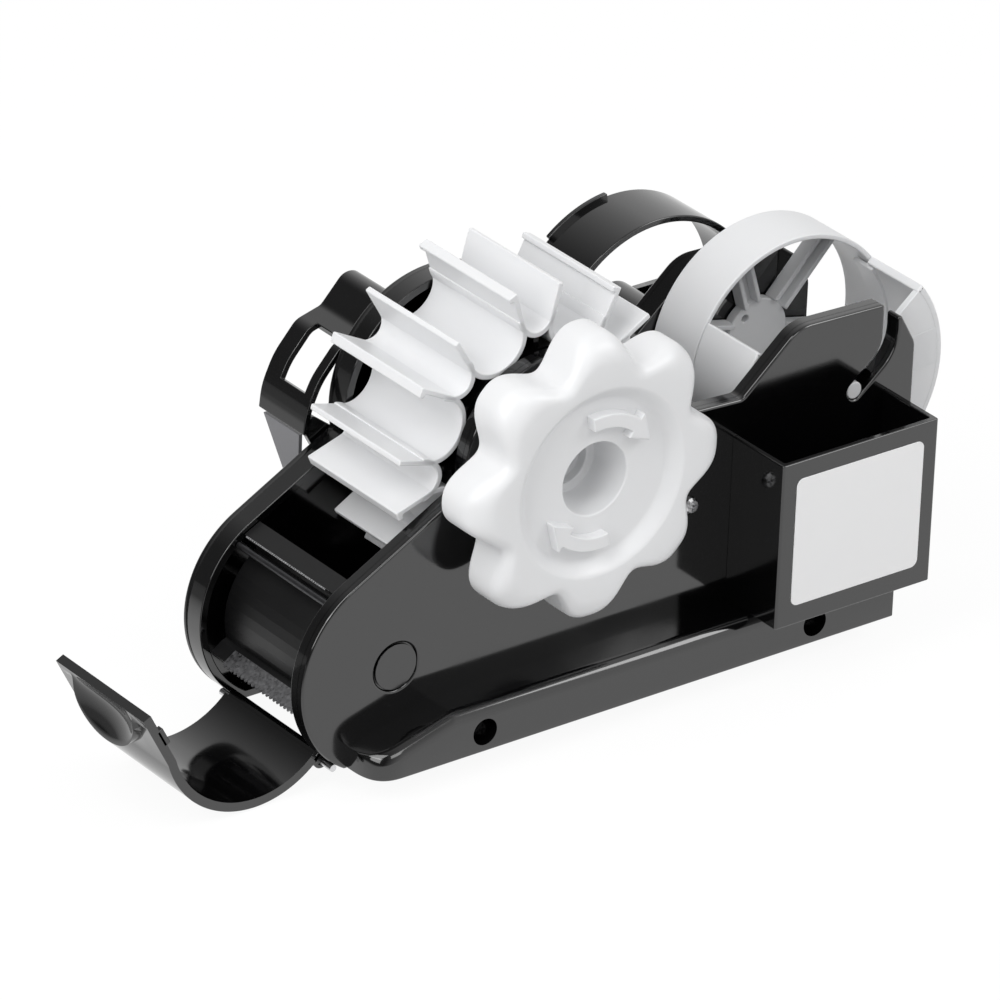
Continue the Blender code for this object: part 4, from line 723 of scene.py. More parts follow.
    def rail_section(self, x: float) -> Array:
        """One cross-section of the foot rail, from its root round the underside and the top.

        With a the share of the boat-shaped end that lies before x, the reach is R (1 - (1 - a)^3)^(1/3).

        Args:
            x: the section's place.

        Returns:
            Its points in space.
        """
        ahead = min(1.0, max(0.0, (x - self.rail_front) / self.rail_nose))
        reach = self.rail_reach * max(0.0, 1 - (1 - ahead) ** 3) ** (1 / 3) + self.rail_least
        back = min(1.0, max(0.0, (x - self.rail_front) / (self.rail_slope_end - self.rail_front)))
        top = self.underside + self.rail_height - self.rail_drop * (1 - back)
        tail = max(0.0, (x - self.rail_rear + self.rail_tail) / self.rail_tail)
        top -= self.rail_tail_drop * (1 - math.sqrt(max(0.0, 1 - tail ** 2)))
        r = min(self.rail_round, reach / 2)
        small = min(self.rail_foot_round, reach / 3)
        low = arc(reach - small, self.underside + small, small, -math.pi / 2, 0, 5)
        high = arc(reach - r, top - r, r, 0, math.pi / 2, 14)
        flat = np.vstack([[(self.rail_root, self.underside)], low, high, [(self.rail_root, top)]])
        return np.stack([np.full(len(flat), x), self.outer + self.sign * flat[:, 0], flat[:, 1]], axis=1)

    def rail(self) -> Skin:
        """The foot rail: sections set closer together at its boat-shaped front end.

        Returns:
            The closed skin.
        """
        share = 1 - np.cos(np.linspace(0, math.pi / 2, 22))
        front = self.rail_front + self.rail_nose * share
        middle = np.linspace(self.rail_front + self.rail_nose, self.rail_slope_end, 14)[1:]
        tail = self.rail_rear - self.rail_tail * (1 - np.sin(np.linspace(0, math.pi / 2, 8)))
        places = np.concatenate([front, middle, tail])
        return loft(np.stack([self.rail_section(float(x)) for x in places]))

    def build(self) -> None:
        """Make the plate and its rail, with the deep screw wells cut into the rail."""
        piece(f"{self.name}_shell", self.shell(), GLOSS_BLACK, "base", [self.name])
        rail = piece(f"{self.name}_rail", self.rail(), GLOSS_BLACK, "base", crease=RAIL_CREASE)
        r, deep, z = self.well
        face = self.outer + self.sign * self.rail_reach
        near, far = sorted((face - self.sign * deep, face + self.sign * self.well_overrun))
        for x in self.well_x:
            cut(rail, slab([circle(x, z, r, 48)], near, far, 0.0, 0.0))


def cut(obj: bpy.types.Object, skin: Skin) -> None:
    """Take a skin's shape out of an object for good.

    Args:
        obj: the object that is cut.
        skin: the tool's shape.
    """
    mesh = bpy.data.meshes.new("tool")
    mesh.from_pydata(world(skin.points).tolist(), [], skin.faces)
    tool = bpy.data.objects.new("tool", mesh)
    bpy.context.scene.collection.objects.link(tool)
    mod = obj.modifiers.new("cut", "BOOLEAN")
    mod.object, mod.operation, mod.solver = tool, "DIFFERENCE", "EXACT"
    graph = bpy.context.evaluated_depsgraph_get()
    done = bpy.data.meshes.new_from_object(obj.evaluated_get(graph))
    obj.modifiers.clear()
    obj.data = done
    done.set_sharp_from_angle(angle=math.radians(RAIL_CREASE))
    bpy.data.objects.remove(tool)


@dataclass
class Knob:
    """The lobed hand knob: a moulded body with a sunk disc, a stepped hole and two arrows."""

    back: float = -36.3
    thick: float = 16.4
    radius: float = 45.4
    valley: float = 9.6
    blunt: float = 1.35
    lobes: int = 8
    shoulder: float = 8.5
    shoulder_valley: float = 0.45
    edge: float = 1.5
    rim: float = 30.0
    disc: float = 24.8
    sink: float = 3.6
    hole: float = 11.35
    hole_foot: float = 10.4
    hole_depth: float = 14.2
    step: float = 7.7
    seat: float = -31.8
    hub: float = 14.0
    hub_end: float = -28.8
    screw: float = 4.0
    arrow: Triple = (19.2, 4.3, 8.8)
    arrow_tail: float = math.radians(100.5)
    arrow_sweep: float = math.radians(72.5)
    arrow_neck: float = 0.67
    arrow_rise: float = 3.4

    def recess(self) -> Array:
        """Radius and place along Y down the S-shaped slope from the flat face to the sunk disc."""
        t = np.linspace(0, 1, 15)
        fall = self.sink * t * t * (3 - 2 * t)
        return np.stack([self.rim + (self.disc - self.rim) * t, self.back - self.thick + fall], axis=1)

    def body(self) -> Skin:
        """The body over a grid of angle a and section.

        With g = (1 - cos 8a) / 2, the side's radius is R - V g^b, where b widens the lobes, and
        the rounding between side and face has the radius s (1 - (1 - k) g), smaller in the valleys.

        Returns:
            The closed skin.
        """
        front = self.back - self.thick
        disc = front + self.sink
        step = disc + self.hole_depth
        a = np.arange(self.lobes * 40) * 2 * math.pi / (self.lobes * 40)
        g = (1 - np.cos(self.lobes * a)) / 2
        side = self.radius - self.valley * g ** self.blunt
        soft = self.shoulder * (1 - (1 - self.shoulder_valley) * g)
        hub = fillet([(self.hub, self.hub_end, 0.0), (self.hub, self.back, 1.0),
                      (self.rim, self.back, 0.0)], closed=False)
        inner = fillet([(self.disc - 1.0, disc, 0), (self.hole, disc, 0.6), (self.hole_foot, step, 0.5),
                        (self.step, step, 0.4), (self.step, self.seat, 0.3), (self.screw, self.seat, 0.1),
                        (self.screw, self.hub_end, 0.0)], closed=False)
        t, u = [np.linspace(0, math.pi / 2, count)[:, None] for count in (6, 13)]
        even = np.ones((1, len(a)))
        r = np.vstack([hub[:, :1] * even, side - self.edge * (1 - np.sin(t)), side - soft * (1 - np.cos(u)),
                       self.recess()[:, :1] * even, inner[:, :1] * even])
        y = np.vstack([hub[:, 1:] * even, (self.back - self.edge * (1 - np.cos(t))) * even,
                       front + soft * (1 - np.sin(u)), self.recess()[:, 1:] * even, inner[:, 1:] * even])
        points = np.stack([r * np.cos(a), y, AXIS_HEIGHT + r * np.sin(a)], axis=-1)
        faces = grid_faces(*r.shape, wrap_rows=True, wrap_cols=True)
        return Skin(points.reshape(-1, 3), faces).outward()

    def arrow_outline(self, tail: float) -> Array:
        """A curved arrow: a ring's arc with a three-cornered head.

        Args:
            tail: the angle at which it begins.

        Returns:
            Its outline.
        """
        r, wide, head = self.arrow
        neck = tail - self.arrow_sweep * self.arrow_neck
        tip = tail - self.arrow_sweep
        outer = arc(0, 0, r + wide / 2, tail, neck, 16)
        inner = arc(0, 0, r - wide / 2, neck, tail, 16)
        wing = np.array([[math.cos(neck), math.sin(neck)]])
        point = np.array([[math.cos(tip), math.sin(tip)]]) * r
        loop = np.vstack([outer, wing * (r + head / 2), point, wing * (r - head / 2), inner])
        return soften(loop, 0.35, 20.0) + [0.0, AXIS_HEIGHT]

    def build(self) -> None:
        """Make the body and both arrows."""
        piece("knob_body", self.body(), SATIN_WHITE, "wheel", ["knob"], crease=40.0)
        disc = self.back - self.thick + self.sink
        for part, tail in (("upper", self.arrow_tail), ("lower", self.arrow_tail + math.pi)):
            skin = slab([self.arrow_outline(tail)], disc - self.arrow_rise, disc + 0.6, 0.45, 0.0)
            piece(f"knob_arrow_{part}", skin, SATIN_WHITE, "wheel")


@dataclass
class PaddleWheel:
    """The eight white paddles: each a wide U-shaped trough and the narrow one beside it."""

    stations: int = 8
    phase: float = math.radians(114.3)
    width: float = 43.4
    wall: float = 1.8
    notch: float = 39.0
    notch_half: float = math.radians(14.8)
    lip: float = 50.3
    lip_half: float = math.radians(13.0)
    trough: float = 8.6
    hollow_top: float = 41.0
    hollow: float = 6.5
    hollow_gap: float = math.radians(0.9)
    overhang: float = 2.3

    def trough_path(self) -> Array:
        """Middle line of a trough: straight wall, half an ellipse, straight wall, overhanging lip.

        Returns:
            The line's points, for a trough that opens along the first coordinate.
        """
        nx, nz = self.notch * math.cos(self.notch_half), self.notch * math.sin(self.notch_half)
        r = self.lip - self.wall / 2
        tx, tz = r * math.cos(self.lip_half), r * math.sin(self.lip_half)
        a = np.linspace(0, math.pi, 37)
        bowl = np.stack([nx - self.trough * np.sin(a), nz * np.cos(a)], axis=1)
        return np.vstack([[(tx, tz)], bowl, [(tx, -tz), (tx, self.overhang - tz)]])

    def hollow_path(self) -> Array:
        """Middle line of the narrow trough between two paddles.

        It is half an ellipse in polar form: with s from 0 to half a turn, the angle runs as
        -cos s from one paddle's wall to the next one's, and the radius is R - h sin s.

        Returns:
            The line's points.
        """
        s = np.linspace(0, math.pi, 33)
        middle = math.pi / self.stations
        a = middle - (middle - self.lip_half - self.hollow_gap) * np.cos(s)
        r = self.hollow_top - self.hollow * np.sin(s)
        return np.stack([r * np.cos(a), r * np.sin(a)], axis=1)

    def paddle(self, index: int) -> Skin:
        """One paddle's skin.

        Args:
            index: its station, counted from 0.

        Returns:
            The trough and the floor beside it, turned to their station.
        """
        angle = self.phase + 2 * math.pi / self.stations * index
        lift = np.array([0.0, AXIS_HEIGHT])
        half = self.width / 2
        bowl = turned(soften(band(self.trough_path(), self.wall), 0.5, CORNER), angle) + lift
        floor = turned(soften(band(self.hollow_path(), self.wall), 0.4, CORNER), angle) + lift
        return slab([bowl], -half, half, 0.45, 0.45) + slab([floor], -half, half, 0.4, 0.4)

    def build(self) -> None:
        """Make all paddles."""
        for index in range(self.stations):
            name = f"paddle_{index + 1}"
            piece(f"{name}_trough", self.paddle(index), SATIN_WHITE, "wheel", [name])


@dataclass
class FrontCover:
    """The hinged front cover, with a finger scoop that stands out of its flap."""

    hinge: Pair = (-73.7, 5.3)
    reach: float = 32.9
    opening: float = math.radians(135.1)
    radius: float = 31.4
    wall: float = 2.8
    arc_end: float = math.radians(196.0)
    flap: float = 19.0
    flare: float = math.radians(12.0)
    side: float = 21.9
    barrel: float = 2.6
    pin: float = 1.4
    scoop_top: float = 1.5
    scoop_reach: float = 14.1
    scoop_rise: float = 5.4
    scoop_depth: float = 3.0
    scoop_half: float = 14.8
    scoop_side: float = 1.2
    scoop_lip: float = 0.08
    scoop_foot: float = 1.6
    scoop_short: float = 0.3
    latch: tuple[float, float, float, float] = (6.5, 12.5, 1.3, 2.2)

    def heading(self) -> tuple[Array, Array]:
        """Unit steps up the flap and out of its outer face."""
        angle = self.arc_end - math.pi / 2 + self.flare
        along = np.array([math.cos(angle), math.sin(angle)])
        return along, np.array([-along[1], along[0]])

    def curve(self) -> Array:
        """Middle line of the wide arc, from the web to the flap."""
        hx, hz = self.hinge
        out = self.reach * np.array([math.cos(self.opening), math.sin(self.opening)])
        return arc(hx + out[0], hz + out[1], self.radius - self.wall / 2, self.opening + math.pi,
                   self.arc_end, 48)

    def scoop(self, y: float) -> tuple[Array, Array]:
        """Places down the flap from its tip and the outer face's height there.

        The lip rises evenly from the tip to the foot of a half-oval; inside it the height
        falls below the lip's plane by depth 4t(1 - t), and outside it drops to the flap.

        Args:
            y: the place along Y.

        Returns:
            The places, and the height at each.
        """
        share = min(1.0, abs(y) / self.scoop_half)
        oval = math.sqrt(1 - share ** 2)
        length = self.scoop_reach * (self.scoop_short + (1 - self.scoop_short) * oval)
        slope = self.scoop_rise / self.scoop_reach
        lip = length * (1 - self.scoop_lip)
        t = np.linspace(1, 0, 22)
        bowl = slope * lip * t - self.scoop_depth * (1 - share ** 2) * 4 * t * (1 - t)
        down = np.concatenate([[length + self.scoop_foot, length], lip * t, [-self.scoop_top]])
        rise = np.concatenate([[0.0, slope * length], bowl, [0.0]])
        fade = 1 - min(1.0, max(0.0, (abs(y) - self.scoop_half) / self.scoop_side))
        return down + self.scoop_top, rise * fade

    def section(self, y: float) -> Array:
        """The cover's outline at one place along Y.

        Args:
            y: the place.

        Returns:
            The outline's points in space.
        """
        along, across = self.heading()
        curve = self.curve()
        down, rise = self.scoop(y)
        flap = curve[-1] + np.outer(self.flap - down, along)
        outline = band(np.vstack([curve, flap]), self.wall)
        outline[len(curve):len(curve) + len(flap)] += np.outer(rise, across)
        return in_space(outline, y, "Y")

    def build(self) -> None:
        """Make the cover with its web, hinge barrel and latch block."""
        share = np.sin(np.linspace(-math.pi / 2, math.pi / 2, 41))
        edge = self.scoop_half + self.scoop_side
        places = np.concatenate([[-self.side, -edge], self.scoop_half * share, [edge, self.side]])
        body = loft(np.stack([self.section(float(y)) for y in places]))
        hx, hz = self.hinge
        web = slab([soften(band(np.vstack([[(hx, hz)], self.curve()[:1]]), self.wall), 0.3)],
                   -self.side, self.side, 0.2, 0.2)
        barrel = slab([circle(hx, hz, self.barrel, 48), circle(hx, hz, self.pin, 32)],
                      -self.side, self.side, 0.3, 0.3)
        piece("front_cover_shell", body, GLOSS_BLACK, "cover", ["front_cover"], crease=34.0, bevel=0.3)
        along, across = self.heading()
        high, low, stand, wide = self.latch
        tip = self.curve()[-1] + along * self.flap - across * self.wall / 2
        block = np.array([tip - along * high + across, tip - along * low + across,
                          tip - along * low - across * stand, tip - along * high - across * stand])
        hook = slab([soften(block, 0.3)], -self.side, wide - self.side, 0.3, 0.3)
        piece("front_cover_barrel", join([web, barrel, hook]), GLOSS_BLACK, "cover")


@dataclass
class RollCore:
    """The pale roll core between the plates: a spoked half and a clamp half."""

    x: float = 112.8
    z: float = 75.2
    radius: float = 37.8
    wall: float = 1.7
    half: float = 22.0
    ring: float = 19.8
    hub: float = 11.0
    hub_thick: float = 3.4
    hub_hole: Triple = (-4.9, 5.8, 1.2)
    spokes: int = 6
    spoke_phase: float = math.radians(47.0)
    spoke_width: float = 6.4
    spoke_flange: float = 1.5
    spoke_deep: float = 5.0
    spoke_web: float = 1.6
    spoke_root: float = 0.3
    spoke_inset: float = 0.4
    spoke_recess: float = 0.1
    shoe_wall: float = 2.6
    shoe_half: float = math.radians(35.2)
    tilt: float = math.radians(5.3)
    bar: Pair = (12.0, 2.6)
    flange: Pair = (26.0, 2.4)
    flange_trim: float = 0.01
    flange_recess: float = 0.1
    seam_gap: float = 0.3
    tongue_gap: float = 0.3
    tongue_wall: float = 1.5
    tongue_trim: float = 0.05
    tongue: Pair = (-2.0, 7.0)
    clamp_hub: float = 9.0
    stub: float = 2.7
    stub_ends: Pair = (-27.6, 30.8)
    stub_root: float = 0.5

    def at(self, flat: Array) -> Array:
        """Flat points moved to the core's axis."""
        return flat + [self.x, self.z]

    def left_half(self) -> Skin:
        """Ring, six I-shaped spokes, hub disc and stub.

        Returns:
            The half as one mesh.
        """
        near, far = self.half - self.ring, self.half
        rings = [circle(self.x, self.z, r, 144) for r in (self.radius, self.radius - self.wall)]
        skins = [slab(rings, near, far, 0.5, 0.5)]
        inner, outer = self.hub - self.spoke_root, self.radius - self.wall / 2
        half = self.spoke_width / 2
        flat = half - self.spoke_inset
        web = oblong(inner, outer, -flat, flat)
        rails = [soften(oblong(inner, outer, low, low + self.spoke_flange), 0.2)
                 for low in (-half, half - self.spoke_flange)]
        for angle in self.spoke_phase + 2 * math.pi / self.spokes * np.arange(self.spokes):
            skins.append(slab([self.at(turned(web, angle))], far - self.spoke_web,
                              far - self.spoke_recess, 0.1, 0.1))
            skins += [slab([self.at(turned(rail, angle))], far - self.spoke_deep, far) for rail in rails]
        across, up, r = self.hub_hole
        skins.append(slab([circle(self.x, self.z, self.hub), circle(self.x + across, self.z + up, r, 32)],
                          far - self.hub_thick, far, 0.4, 0.4))
        stub = circle(self.x, self.z, self.stub, 48)
        skins.append(slab([stub], far - self.stub_root, self.stub_ends[1], 0.0, 0.4))
        return join(skins)

    def right_half(self) -> Skin:
        """Two arc shoes, each with an end flange and a tongue, joined by a bar with a hub and a stub.

        Returns:
            The half as one mesh.
        """
        near, seam = -self.half, self.half - self.ring - self.seam_gap
        skins = []
        depth, thick = self.flange
        within = self.radius - self.wall - self.tongue_gap
        low, high = self.tongue
        for middle in (self.tilt, self.tilt + math.pi):
            start, end = middle - self.shoe_half, middle + self.shoe_half
            shoe = sector(self.radius - self.shoe_wall, self.radius, start, end, 40)
            skins.append(slab([self.at(soften(shoe, 0.8, SHARP))], near, seam, 0.9, 0.3))
            flange = sector(depth, self.radius - self.shoe_wall / 2, start + self.flange_trim,
                            end - self.flange_trim, 40)
            skins.append(slab([self.at(soften(flange, 0.6, SHARP))], near + self.flange_recess,
                              near + thick))
            tongue = sector(within - self.tongue_wall, within, start + self.tongue_trim,
                            end - self.tongue_trim, 36)
            skins.append(slab([self.at(soften(tongue, 0.4, SHARP))], seam + low, seam + high, 0.2, 0.3))
        rise, thick = self.bar
        reach = self.radius - self.shoe_wall + self.seam_gap
        bar = oblong(-reach, reach, -rise / 2, rise / 2)
        skins.append(slab([self.at(turned(bar, self.tilt))], near, near + thick))
        skins.append(slab([circle(self.x, self.z, self.clamp_hub)], near, near + self.hub_thick, 0.4, 0.4))
        stub = circle(self.x, self.z, self.stub, 48)
        skins.append(slab([stub], self.stub_ends[0], near + self.stub_root, 0.4, 0.0))
        return join(skins)

    def build(self) -> None:
        """Make both halves."""
        piece("core_spoked_half", self.left_half(), PALE_PLASTIC, "roll_core", ["core_left_half"])
        piece("core_clamp_half", self.right_half(), PALE_PLASTIC, "roll_core", ["core_right_half"])


@dataclass
class OuterCore:
    """The black core outside the left plate."""

    x: float = 84.6
    z: float = 76.2
    radius: float = 38.2
    wall: float = 2.0
    near: float = 32.0
    far: float = 53.8
    tab: Triple = (1.6, math.radians(17.0), math.radians(113.0))
    tab_wide: float = 1.6
    tab_root: float = 1.0
    bar_root: float = 0.5
    bar: Pair = (11.0, 2.6)
    hub: float = 9.0
    bore: float = 5.3

    def build(self) -> None:
        """Make the ring with its raised tab, bar and hub."""
        centre = [self.x, self.z]
        inner = self.radius - self.wall
        rise, half, middle = self.tab
        tab = sector(self.radius - self.tab_root, self.radius + rise, middle - half, middle + half, 24)
        high, thick = self.bar
        reach = inner + self.bar_root
        bar = oblong(-reach, reach, -high / 2, high / 2) + centre
        rings = [circle(self.x, self.z, r, 144) for r in (self.radius, inner)]
        hub = [circle(self.x, self.z, self.hub), circle(self.x, self.z, self.bore, 48)]
        whole = join([slab(rings, self.near, self.far, 0.45, 0.45),
                      slab([soften(tab, 0.5, SHARP) + centre], self.far - self.tab_wide, self.far),
                      slab([bar, hub[1]], self.far - thick, self.far),
                      slab(hub, self.near, self.far, 0.4, 0.4)])
        piece("outer_core_ring", whole, GLOSS_BLACK, "outer_core", ["side_core"])


@dataclass
class GuideArm:
    """The curved tape guide arm on the left plate."""

    near: float = 31.5
    far: float = 53.9
    wall: float = 2.0
    plate: float = 2.4
    window: Pair = (35.2, 47.0)
    window_z: Pair = (89.2, 104.2)
    window_rear: float = -28.4
    corners: tuple[Triple, ...] = (
        (-43.0, 78.4, 0), (-42.3, 85.3, 20.0), (-38.4, 94.0, 20.0), (-31.0, 102.5, 5.0),
        (-22.2, 104.9, 4.0), (-14.6, 113.2, 4.0), (-11.2, 113.2, 4.0), (-6.4, 108.8, 0))
    foot: tuple[Triple, ...] = (
        (-43.0, 78.4, 0.8), (-42.3, 85.3, 3.0), (-30.0, 76.0, 4.0), (-36.0, 66.0, 3.0))
    head: tuple[Triple, ...] = (
        (-22.2, 104.9, 2.0), (-14.6, 113.2, 2.0), (-11.2, 113.2, 2.0), (-6.4, 108.8, 1.5),
        (-4.0, 98.5, 3.0), (-20.0, 98.5, 3.0))

    def strip(self) -> Skin:
        """The curved strip: two layers over a grid of run and width, open where the window is.

        Each solid cell has a face on both layers, and a wall on each side where no solid cell follows.

        Returns:
            The closed skin.
        """
        path = fillet(self.corners, closed=False)
        run = np.concatenate([[0], np.cumsum(np.linalg.norm(np.diff(path, axis=0), axis=1))])
        fine = np.linspace(0, run[-1], 121)
        line = np.stack([np.interp(fine, run, path[:, 0]), np.interp(fine, run, path[:, 1])], axis=1)
        side = leftward(line, closed=False) * self.wall / 2
        across = np.array([self.near, *self.window, self.far])
        rows, cols = len(line), len(across)
        layers = [in_space(np.repeat(edge, cols, axis=0), np.tile(across, rows), "Y")
                  for edge in (line + side, line - side)]
        low, high = self.window_z
        inside = (line[:-1, 1] > low) & (line[1:, 1] < high) & (line[1:, 0] < self.window_rear)
        solid = np.ones((rows - 1, cols - 1), bool)
        solid[inside, 1] = False
        around = np.pad(solid, 1)
        base = rows * cols
        corner = np.arange(base).reshape(rows, cols)
        a, b, c, d = corner[:-1, :-1], corner[:-1, 1:], corner[1:, 1:], corner[1:, :-1]
        faces = [np.stack([a, b, c, d], axis=-1)[solid], np.stack([a, d, c, b], axis=-1)[solid] + base]
        for p, q, beside in ((a, d, around[1:-1, :-2]), (c, b, around[1:-1, 2:]),
                             (b, a, around[:-2, 1:-1]), (d, c, around[2:, 1:-1])):
            faces.append(np.stack([p, q, q + base, p + base], axis=-1)[solid & ~beside])
        return Skin(np.vstack(layers), np.concatenate(faces).tolist()).outward()

    def build(self) -> None:
        """Make the strip and the two plates that hold it on the side plate."""
        piece("guide_arm_strip", self.strip(), GLOSS_BLACK, "base", ["guide_arm"], crease=40.0, bevel=0.3)
        for part, corners in (("foot", self.foot), ("head", self.head)):
            skin = slab([fillet(corners)], self.near, self.near + self.plate)
            piece(f"guide_arm_{part}", skin, GLOSS_BLACK, "base")


@dataclass
class UpperBlade:
    """The thin serrated blade over the chute, which points forwards and up."""

    x: float = -71.2
    z: float = 58.2
    half: float = 19.3
    deep: float = 2.6
    tooth: float = 0.9
    teeth: int = 40
    thick: float = 0.5
    lean: float = math.radians(40.0)

    def build(self) -> None:
        """Make the strip: a zigzag front edge, turned about Y by the lean."""
        y = np.linspace(-self.half, self.half, 2 * self.teeth + 1)
        edge = -self.deep / 2 + self.tooth * (np.arange(len(y)) % 2)
        back = np.array([(self.deep / 2, self.half), (self.deep / 2, -self.half)])
        skin = slab([np.vstack([np.stack([edge, y], axis=1), back])], -self.thick / 2, self.thick / 2,
                    0.0, 0.0, axis="Z")
        c, s = math.cos(self.lean), math.sin(self.lean)
        turn = np.array([[c, 0.0, -s], [0.0, 1.0, 0.0], [s, 0.0, c]])
        skin.points = skin.points @ turn + [self.x, 0.0, self.z]
        skin.normals = None
        piece("upper_blade_strip", skin, BRIGHT_STEEL, "base", ["upper_blade"])


@dataclass
class PenBox:
    """The open-topped pen box and its bare label."""

    left: float = 67.3
    length: float = 58.0
    plate: float = -28.0
    depth: float = 23.7
    low: float = 19.4
    height: float = 53.5
    wall: float = 2.0
    label_side: float = 5.3
    label_top: float = 5.6
    label_foot: float = 6.4
    label_thick: float = 0.3
    label_corner: float = 2.4
    floor_inset: float = 0.6
    floor_lift: float = 0.05

    def build(self) -> None:
        """Make the walls, the floor and the label."""
        right, far = self.left + self.length, self.plate - self.depth
        w = self.wall
        plan = fillet([(self.left, self.plate, 0), (self.left, far, 0.8), (right, far, 0.8),
                       (right, self.plate, 0), (right - w, self.plate, 0), (right - w, far + w, 0.6),
                       (self.left + w, far + w, 0.6), (self.left + w, self.plate, 0)])
        walls = slab([soften(plan, 0.15, SHARP)], self.low, self.low + self.height, 0.5, 0.45, axis="Z")
        inset = self.floor_inset
        floor = slab([oblong(self.left + inset, right - inset, far + inset, self.plate)],
                     self.low + self.floor_lift, self.low + w, 0.1, 0.1, axis="Z")
        piece("pen_box_walls", walls + floor, GLOSS_BLACK, "base", ["pen_box"])
        label = oblong(self.left + self.label_side, right - self.label_side, self.low + self.label_foot,
                       self.low + self.height - self.label_top)
        outline = soften(label, self.label_corner)
        piece("label_film", slab([outline], far - self.label_thick, far, 0.12, 0.0), LABEL_FILM, "base",
              ["label_plate"])


@dataclass
class Carried:
    """The CAD nodes that stay as they are and only take a finish."""

    by_slot: dict[str, Finish] = field(default_factory=lambda: {finish.slot.value: finish for finish in (
        BRIGHT_STEEL, BLACK_RUBBER, GLOSS_BLACK, SATIN_WHITE, PALE_PLASTIC, LABEL_FILM)})
    finishes: dict[str, Finish] = field(default_factory=lambda: {
        "base_floor": SATIN_BLACK, "nose_chute": SATIN_BLACK, "wheel_core": GLOSS_BLACK,
        "side_core_axle": GREY_PLASTIC, "arm_gusset": GREY_PLASTIC, "guide_roller": GREY_PLASTIC,
        "knob_screw": DARK_STEEL, "lower_blade": BLADE_STEEL, "upper_blade_bar": DARK_STEEL})

    def build(self) -> None:
        """Give each shown node its finish, by its slot in the record where none is named."""
        slots = {row["node"]: row["material_slot"] for row in frame["record"]["subparts"]}
        for name, node in frame["nodes"].items():
            finish = self.finishes.get(name) or self.by_slot[slots[name]]
            node.data.materials.clear()
            node.data.materials.append(finish.material())


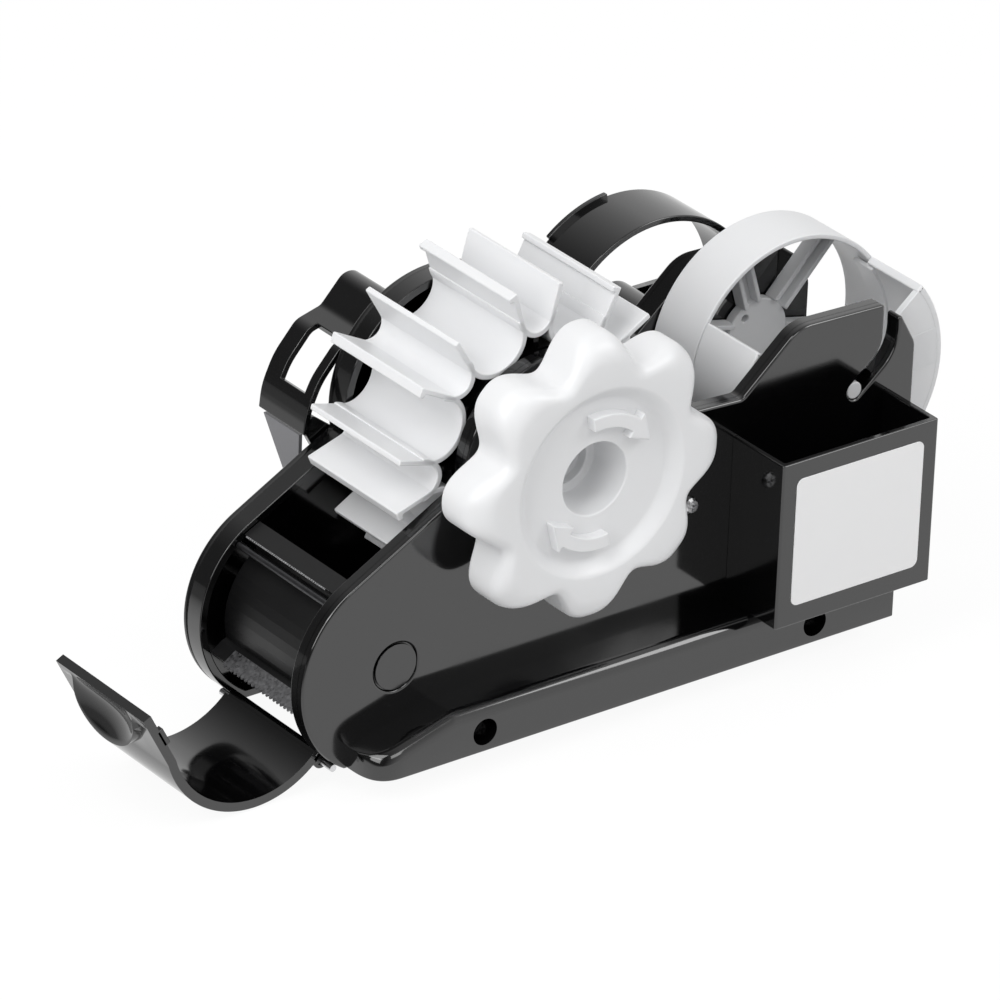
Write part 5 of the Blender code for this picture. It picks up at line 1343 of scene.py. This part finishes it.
@dataclass
class Studio:
    """Floor, light and camera."""

    azimuth: float = math.radians(-37.7)
    elevation: float = math.radians(27.2)
    roll: float = math.radians(2.13)
    focal: float = 8436.0
    picture: float = 1000.0
    distance: float = 2405.6
    target: Triple = (-17.5, -28.0, 75.9)
    sensor: float = 36.0
    sight: float = 20.0
    lamp_aim: Triple = (0.0, 0.0, 0.06)
    lamps: tuple[tuple[str, Triple, float, float], ...] = (
        ("top_light", (-0.95, -0.15, 1.45), 1.0, 10.0), ("left_light", (-1.2, -0.35, 0.75), 0.8, 6.0),
        ("side_light", (0.92, -0.85, 1.15), 0.6, 5.0), ("edge_light", (-0.12, -1.15, 1.31), 0.6, 3.0))
    world_light: float = 0.48
    floor_tone: float = 0.6
    floor_rough: float = 0.9
    floor_glow: float = 1.08
    floor_glow_share: float = 0.86
    floor_reach: float = 12.0
    sky_slope: Triple = (1.0, 0.0, -0.4)
    sky_span: tuple[float, float, float, float] = (-0.7, 0.3, 0.1, 1.0)
    floor_slope: Triple = (1.0, 0.0, 0.0)
    floor_span: tuple[float, float, float, float] = (-0.27, -0.14, 0.2, 1.0)

    def camera(self) -> None:
        """A long lens at the photograph's angle, with its slight roll."""
        az, el, roll = self.azimuth, self.elevation, self.roll
        back = Vector((math.sin(az) * math.cos(el), -math.cos(az) * math.cos(el), math.sin(el)))
        right0 = Vector((math.cos(az), math.sin(az), 0.0))
        up0 = back.cross(right0)
        right = right0 * math.cos(roll) + up0 * math.sin(roll)
        up = up0 * math.cos(roll) - right0 * math.sin(roll)
        data = bpy.data.cameras.new("camera")
        data.sensor_width = self.sensor
        data.lens = self.sensor * self.focal / self.picture
        data.clip_end = self.sight
        cam = bpy.data.objects.new("camera", data)
        bpy.context.scene.collection.objects.link(cam)
        place = Matrix((right, up, back)).transposed().to_4x4()
        place.translation = Vector(world(np.array(self.target))) + back * self.distance * MM
        cam.matrix_world = place
        bpy.context.scene.camera = cam

    def lamp(self, name: str, place: Triple, size: float, power: float) -> None:
        """A square soft lamp that looks at the object.

        Args:
            name: the lamp's name.
            place: where it hangs, in metres.
            size: its side, in metres.
            power: its power in watts.
        """
        data = bpy.data.lights.new(name, "AREA")
        data.shape, data.size, data.energy = "SQUARE", size, power
        lamp = bpy.data.objects.new(name, data)
        lamp.location = place
        lamp.rotation_mode = "QUATERNION"
        lamp.rotation_quaternion = (Vector(self.lamp_aim) - Vector(place)).to_track_quat("-Z", "Y")
        bpy.context.scene.collection.objects.link(lamp)

    def white_for_eye(self, tree: Tree) -> Socket:
        """One where a camera, glossy or transmission ray arrives, else nought.

        Args:
            tree: the nodes of the world or the floor.

        Returns:
            The value's socket.
        """
        path = add_node(tree, "LightPath").outputs
        total = path["Is Camera Ray"]
        for name in ("Is Glossy Ray", "Is Transmission Ray"):
            total = add_node(tree, "Math", {0: total, 1: path[name]}, operation="MAXIMUM").outputs[0]
        return total

    def graded(self, tree: Tree, place: str, slope: Triple,
               span: tuple[float, float, float, float]) -> Socket:
        """White for the eye, and for gloss a tone that runs evenly from one level to another.

        Args:
            tree: the nodes of the world or the floor.
            place: the texture coordinate that the tone is read from.
            slope: the direction in which the tone changes.
            span: the low and high end along it, and the tone at each.

        Returns:
            One for a camera or transmission ray, and the graded tone for a glossy one.
        """
        where = add_node(tree, "TexCoord").outputs[place]
        along = add_node(tree, "VectorMath", {0: where, 1: slope}, operation="DOT_PRODUCT")
        ends = dict(zip(("From Min", "From Max", "To Min", "To Max"), span))
        tone = add_node(tree, "MapRange", {"Value": along.outputs["Value"], **ends})
        glossy = add_node(tree, "LightPath").outputs["Is Glossy Ray"]
        eye = add_node(tree, "Math", {0: 1.0, 1: glossy}, operation="SUBTRACT")
        level = add_node(tree, "Math", {0: eye.outputs[0], 1: tone.outputs["Result"]}, operation="MAXIMUM")
        return level.outputs[0]

    def surroundings(self) -> None:
        """World light: plain for diffuse rays, and the graded tone for the eye and for gloss."""
        sky = bpy.data.worlds.new("studio")
        sky.use_nodes = True
        bpy.context.scene.world = sky
        tree = sky.node_tree
        plain = tree.nodes["Background"]
        feed(tree, plain, {"Strength": self.world_light, "Color": WHITE})
        level = self.graded(tree, "Generated", self.sky_slope, self.sky_span)
        bright = add_node(tree, "Background", {"Strength": level, "Color": WHITE})
        mix = add_node(tree, "MixShader", {"Fac": self.white_for_eye(tree), 1: plain.outputs[0],
                                           2: bright.outputs[0]})
        feed(tree, tree.nodes["World Output"], {"Surface": mix.outputs[0]})

    def floor(self) -> None:
        """A white floor: mostly glow for the eye and for gloss, the rest plain to keep a shadow."""
        white = bpy.data.materials.new("floor_white")
        white.use_nodes = True
        tree = white.node_tree
        plain = tree.nodes["Principled BSDF"]
        feed(tree, plain, {"Base Color": (*[self.floor_tone] * 3, 1.0), "Roughness": self.floor_rough,
                           "Specular IOR Level": 0.0})
        level = self.graded(tree, "Object", self.floor_slope, self.floor_span)
        power = add_node(tree, "Math", {0: level, 1: self.floor_glow}, operation="MULTIPLY")
        glow = add_node(tree, "Emission", {"Strength": power.outputs[0]})
        weight = add_node(tree, "Math", {0: self.white_for_eye(tree), 1: self.floor_glow_share},
                          operation="MULTIPLY")
        mix = add_node(tree, "MixShader", {"Fac": weight.outputs[0], 1: plain.outputs[0],
                                           2: glow.outputs[0]})
        feed(tree, tree.nodes["Material Output"], {"Surface": mix.outputs[0]})
        corners = oblong(-self.floor_reach, self.floor_reach, -self.floor_reach, self.floor_reach)
        mesh = bpy.data.meshes.new("floor")
        mesh.from_pydata(in_space(corners, 0.0, "Z").tolist(), [], [(0, 1, 2, 3)])
        floor = bpy.data.objects.new("floor", mesh)
        floor.data.materials.append(white)
        bpy.context.scene.collection.objects.link(floor)

    def build(self) -> None:
        """Set up the scene's view, light and camera."""
        bpy.context.scene.view_settings.view_transform = "Standard"
        self.surroundings()
        self.floor()
        for name, place, size, power in self.lamps:
            self.lamp(name, place, size, power)
        self.camera()


def main() -> None:
    logging.basicConfig(level=logging.INFO, format="%(name)s: %(message)s")
    parts = [
        SidePlate("right_side_plate", -22.4, -28.0, SHARP),
        SidePlate("left_side_plate", 22.4, 31.2, 36.0),
        FrontCover(),
        PaddleWheel(),
        Knob(),
        RollCore(),
        OuterCore(),
        GuideArm(),
        UpperBlade(),
        PenBox(),
        Carried(),
        Studio(),
    ]
    for part in parts:
        part.build()
        LOG.info("%s is in place", getattr(part, "name", type(part).__name__))


if __name__ == "__main__":
    main()
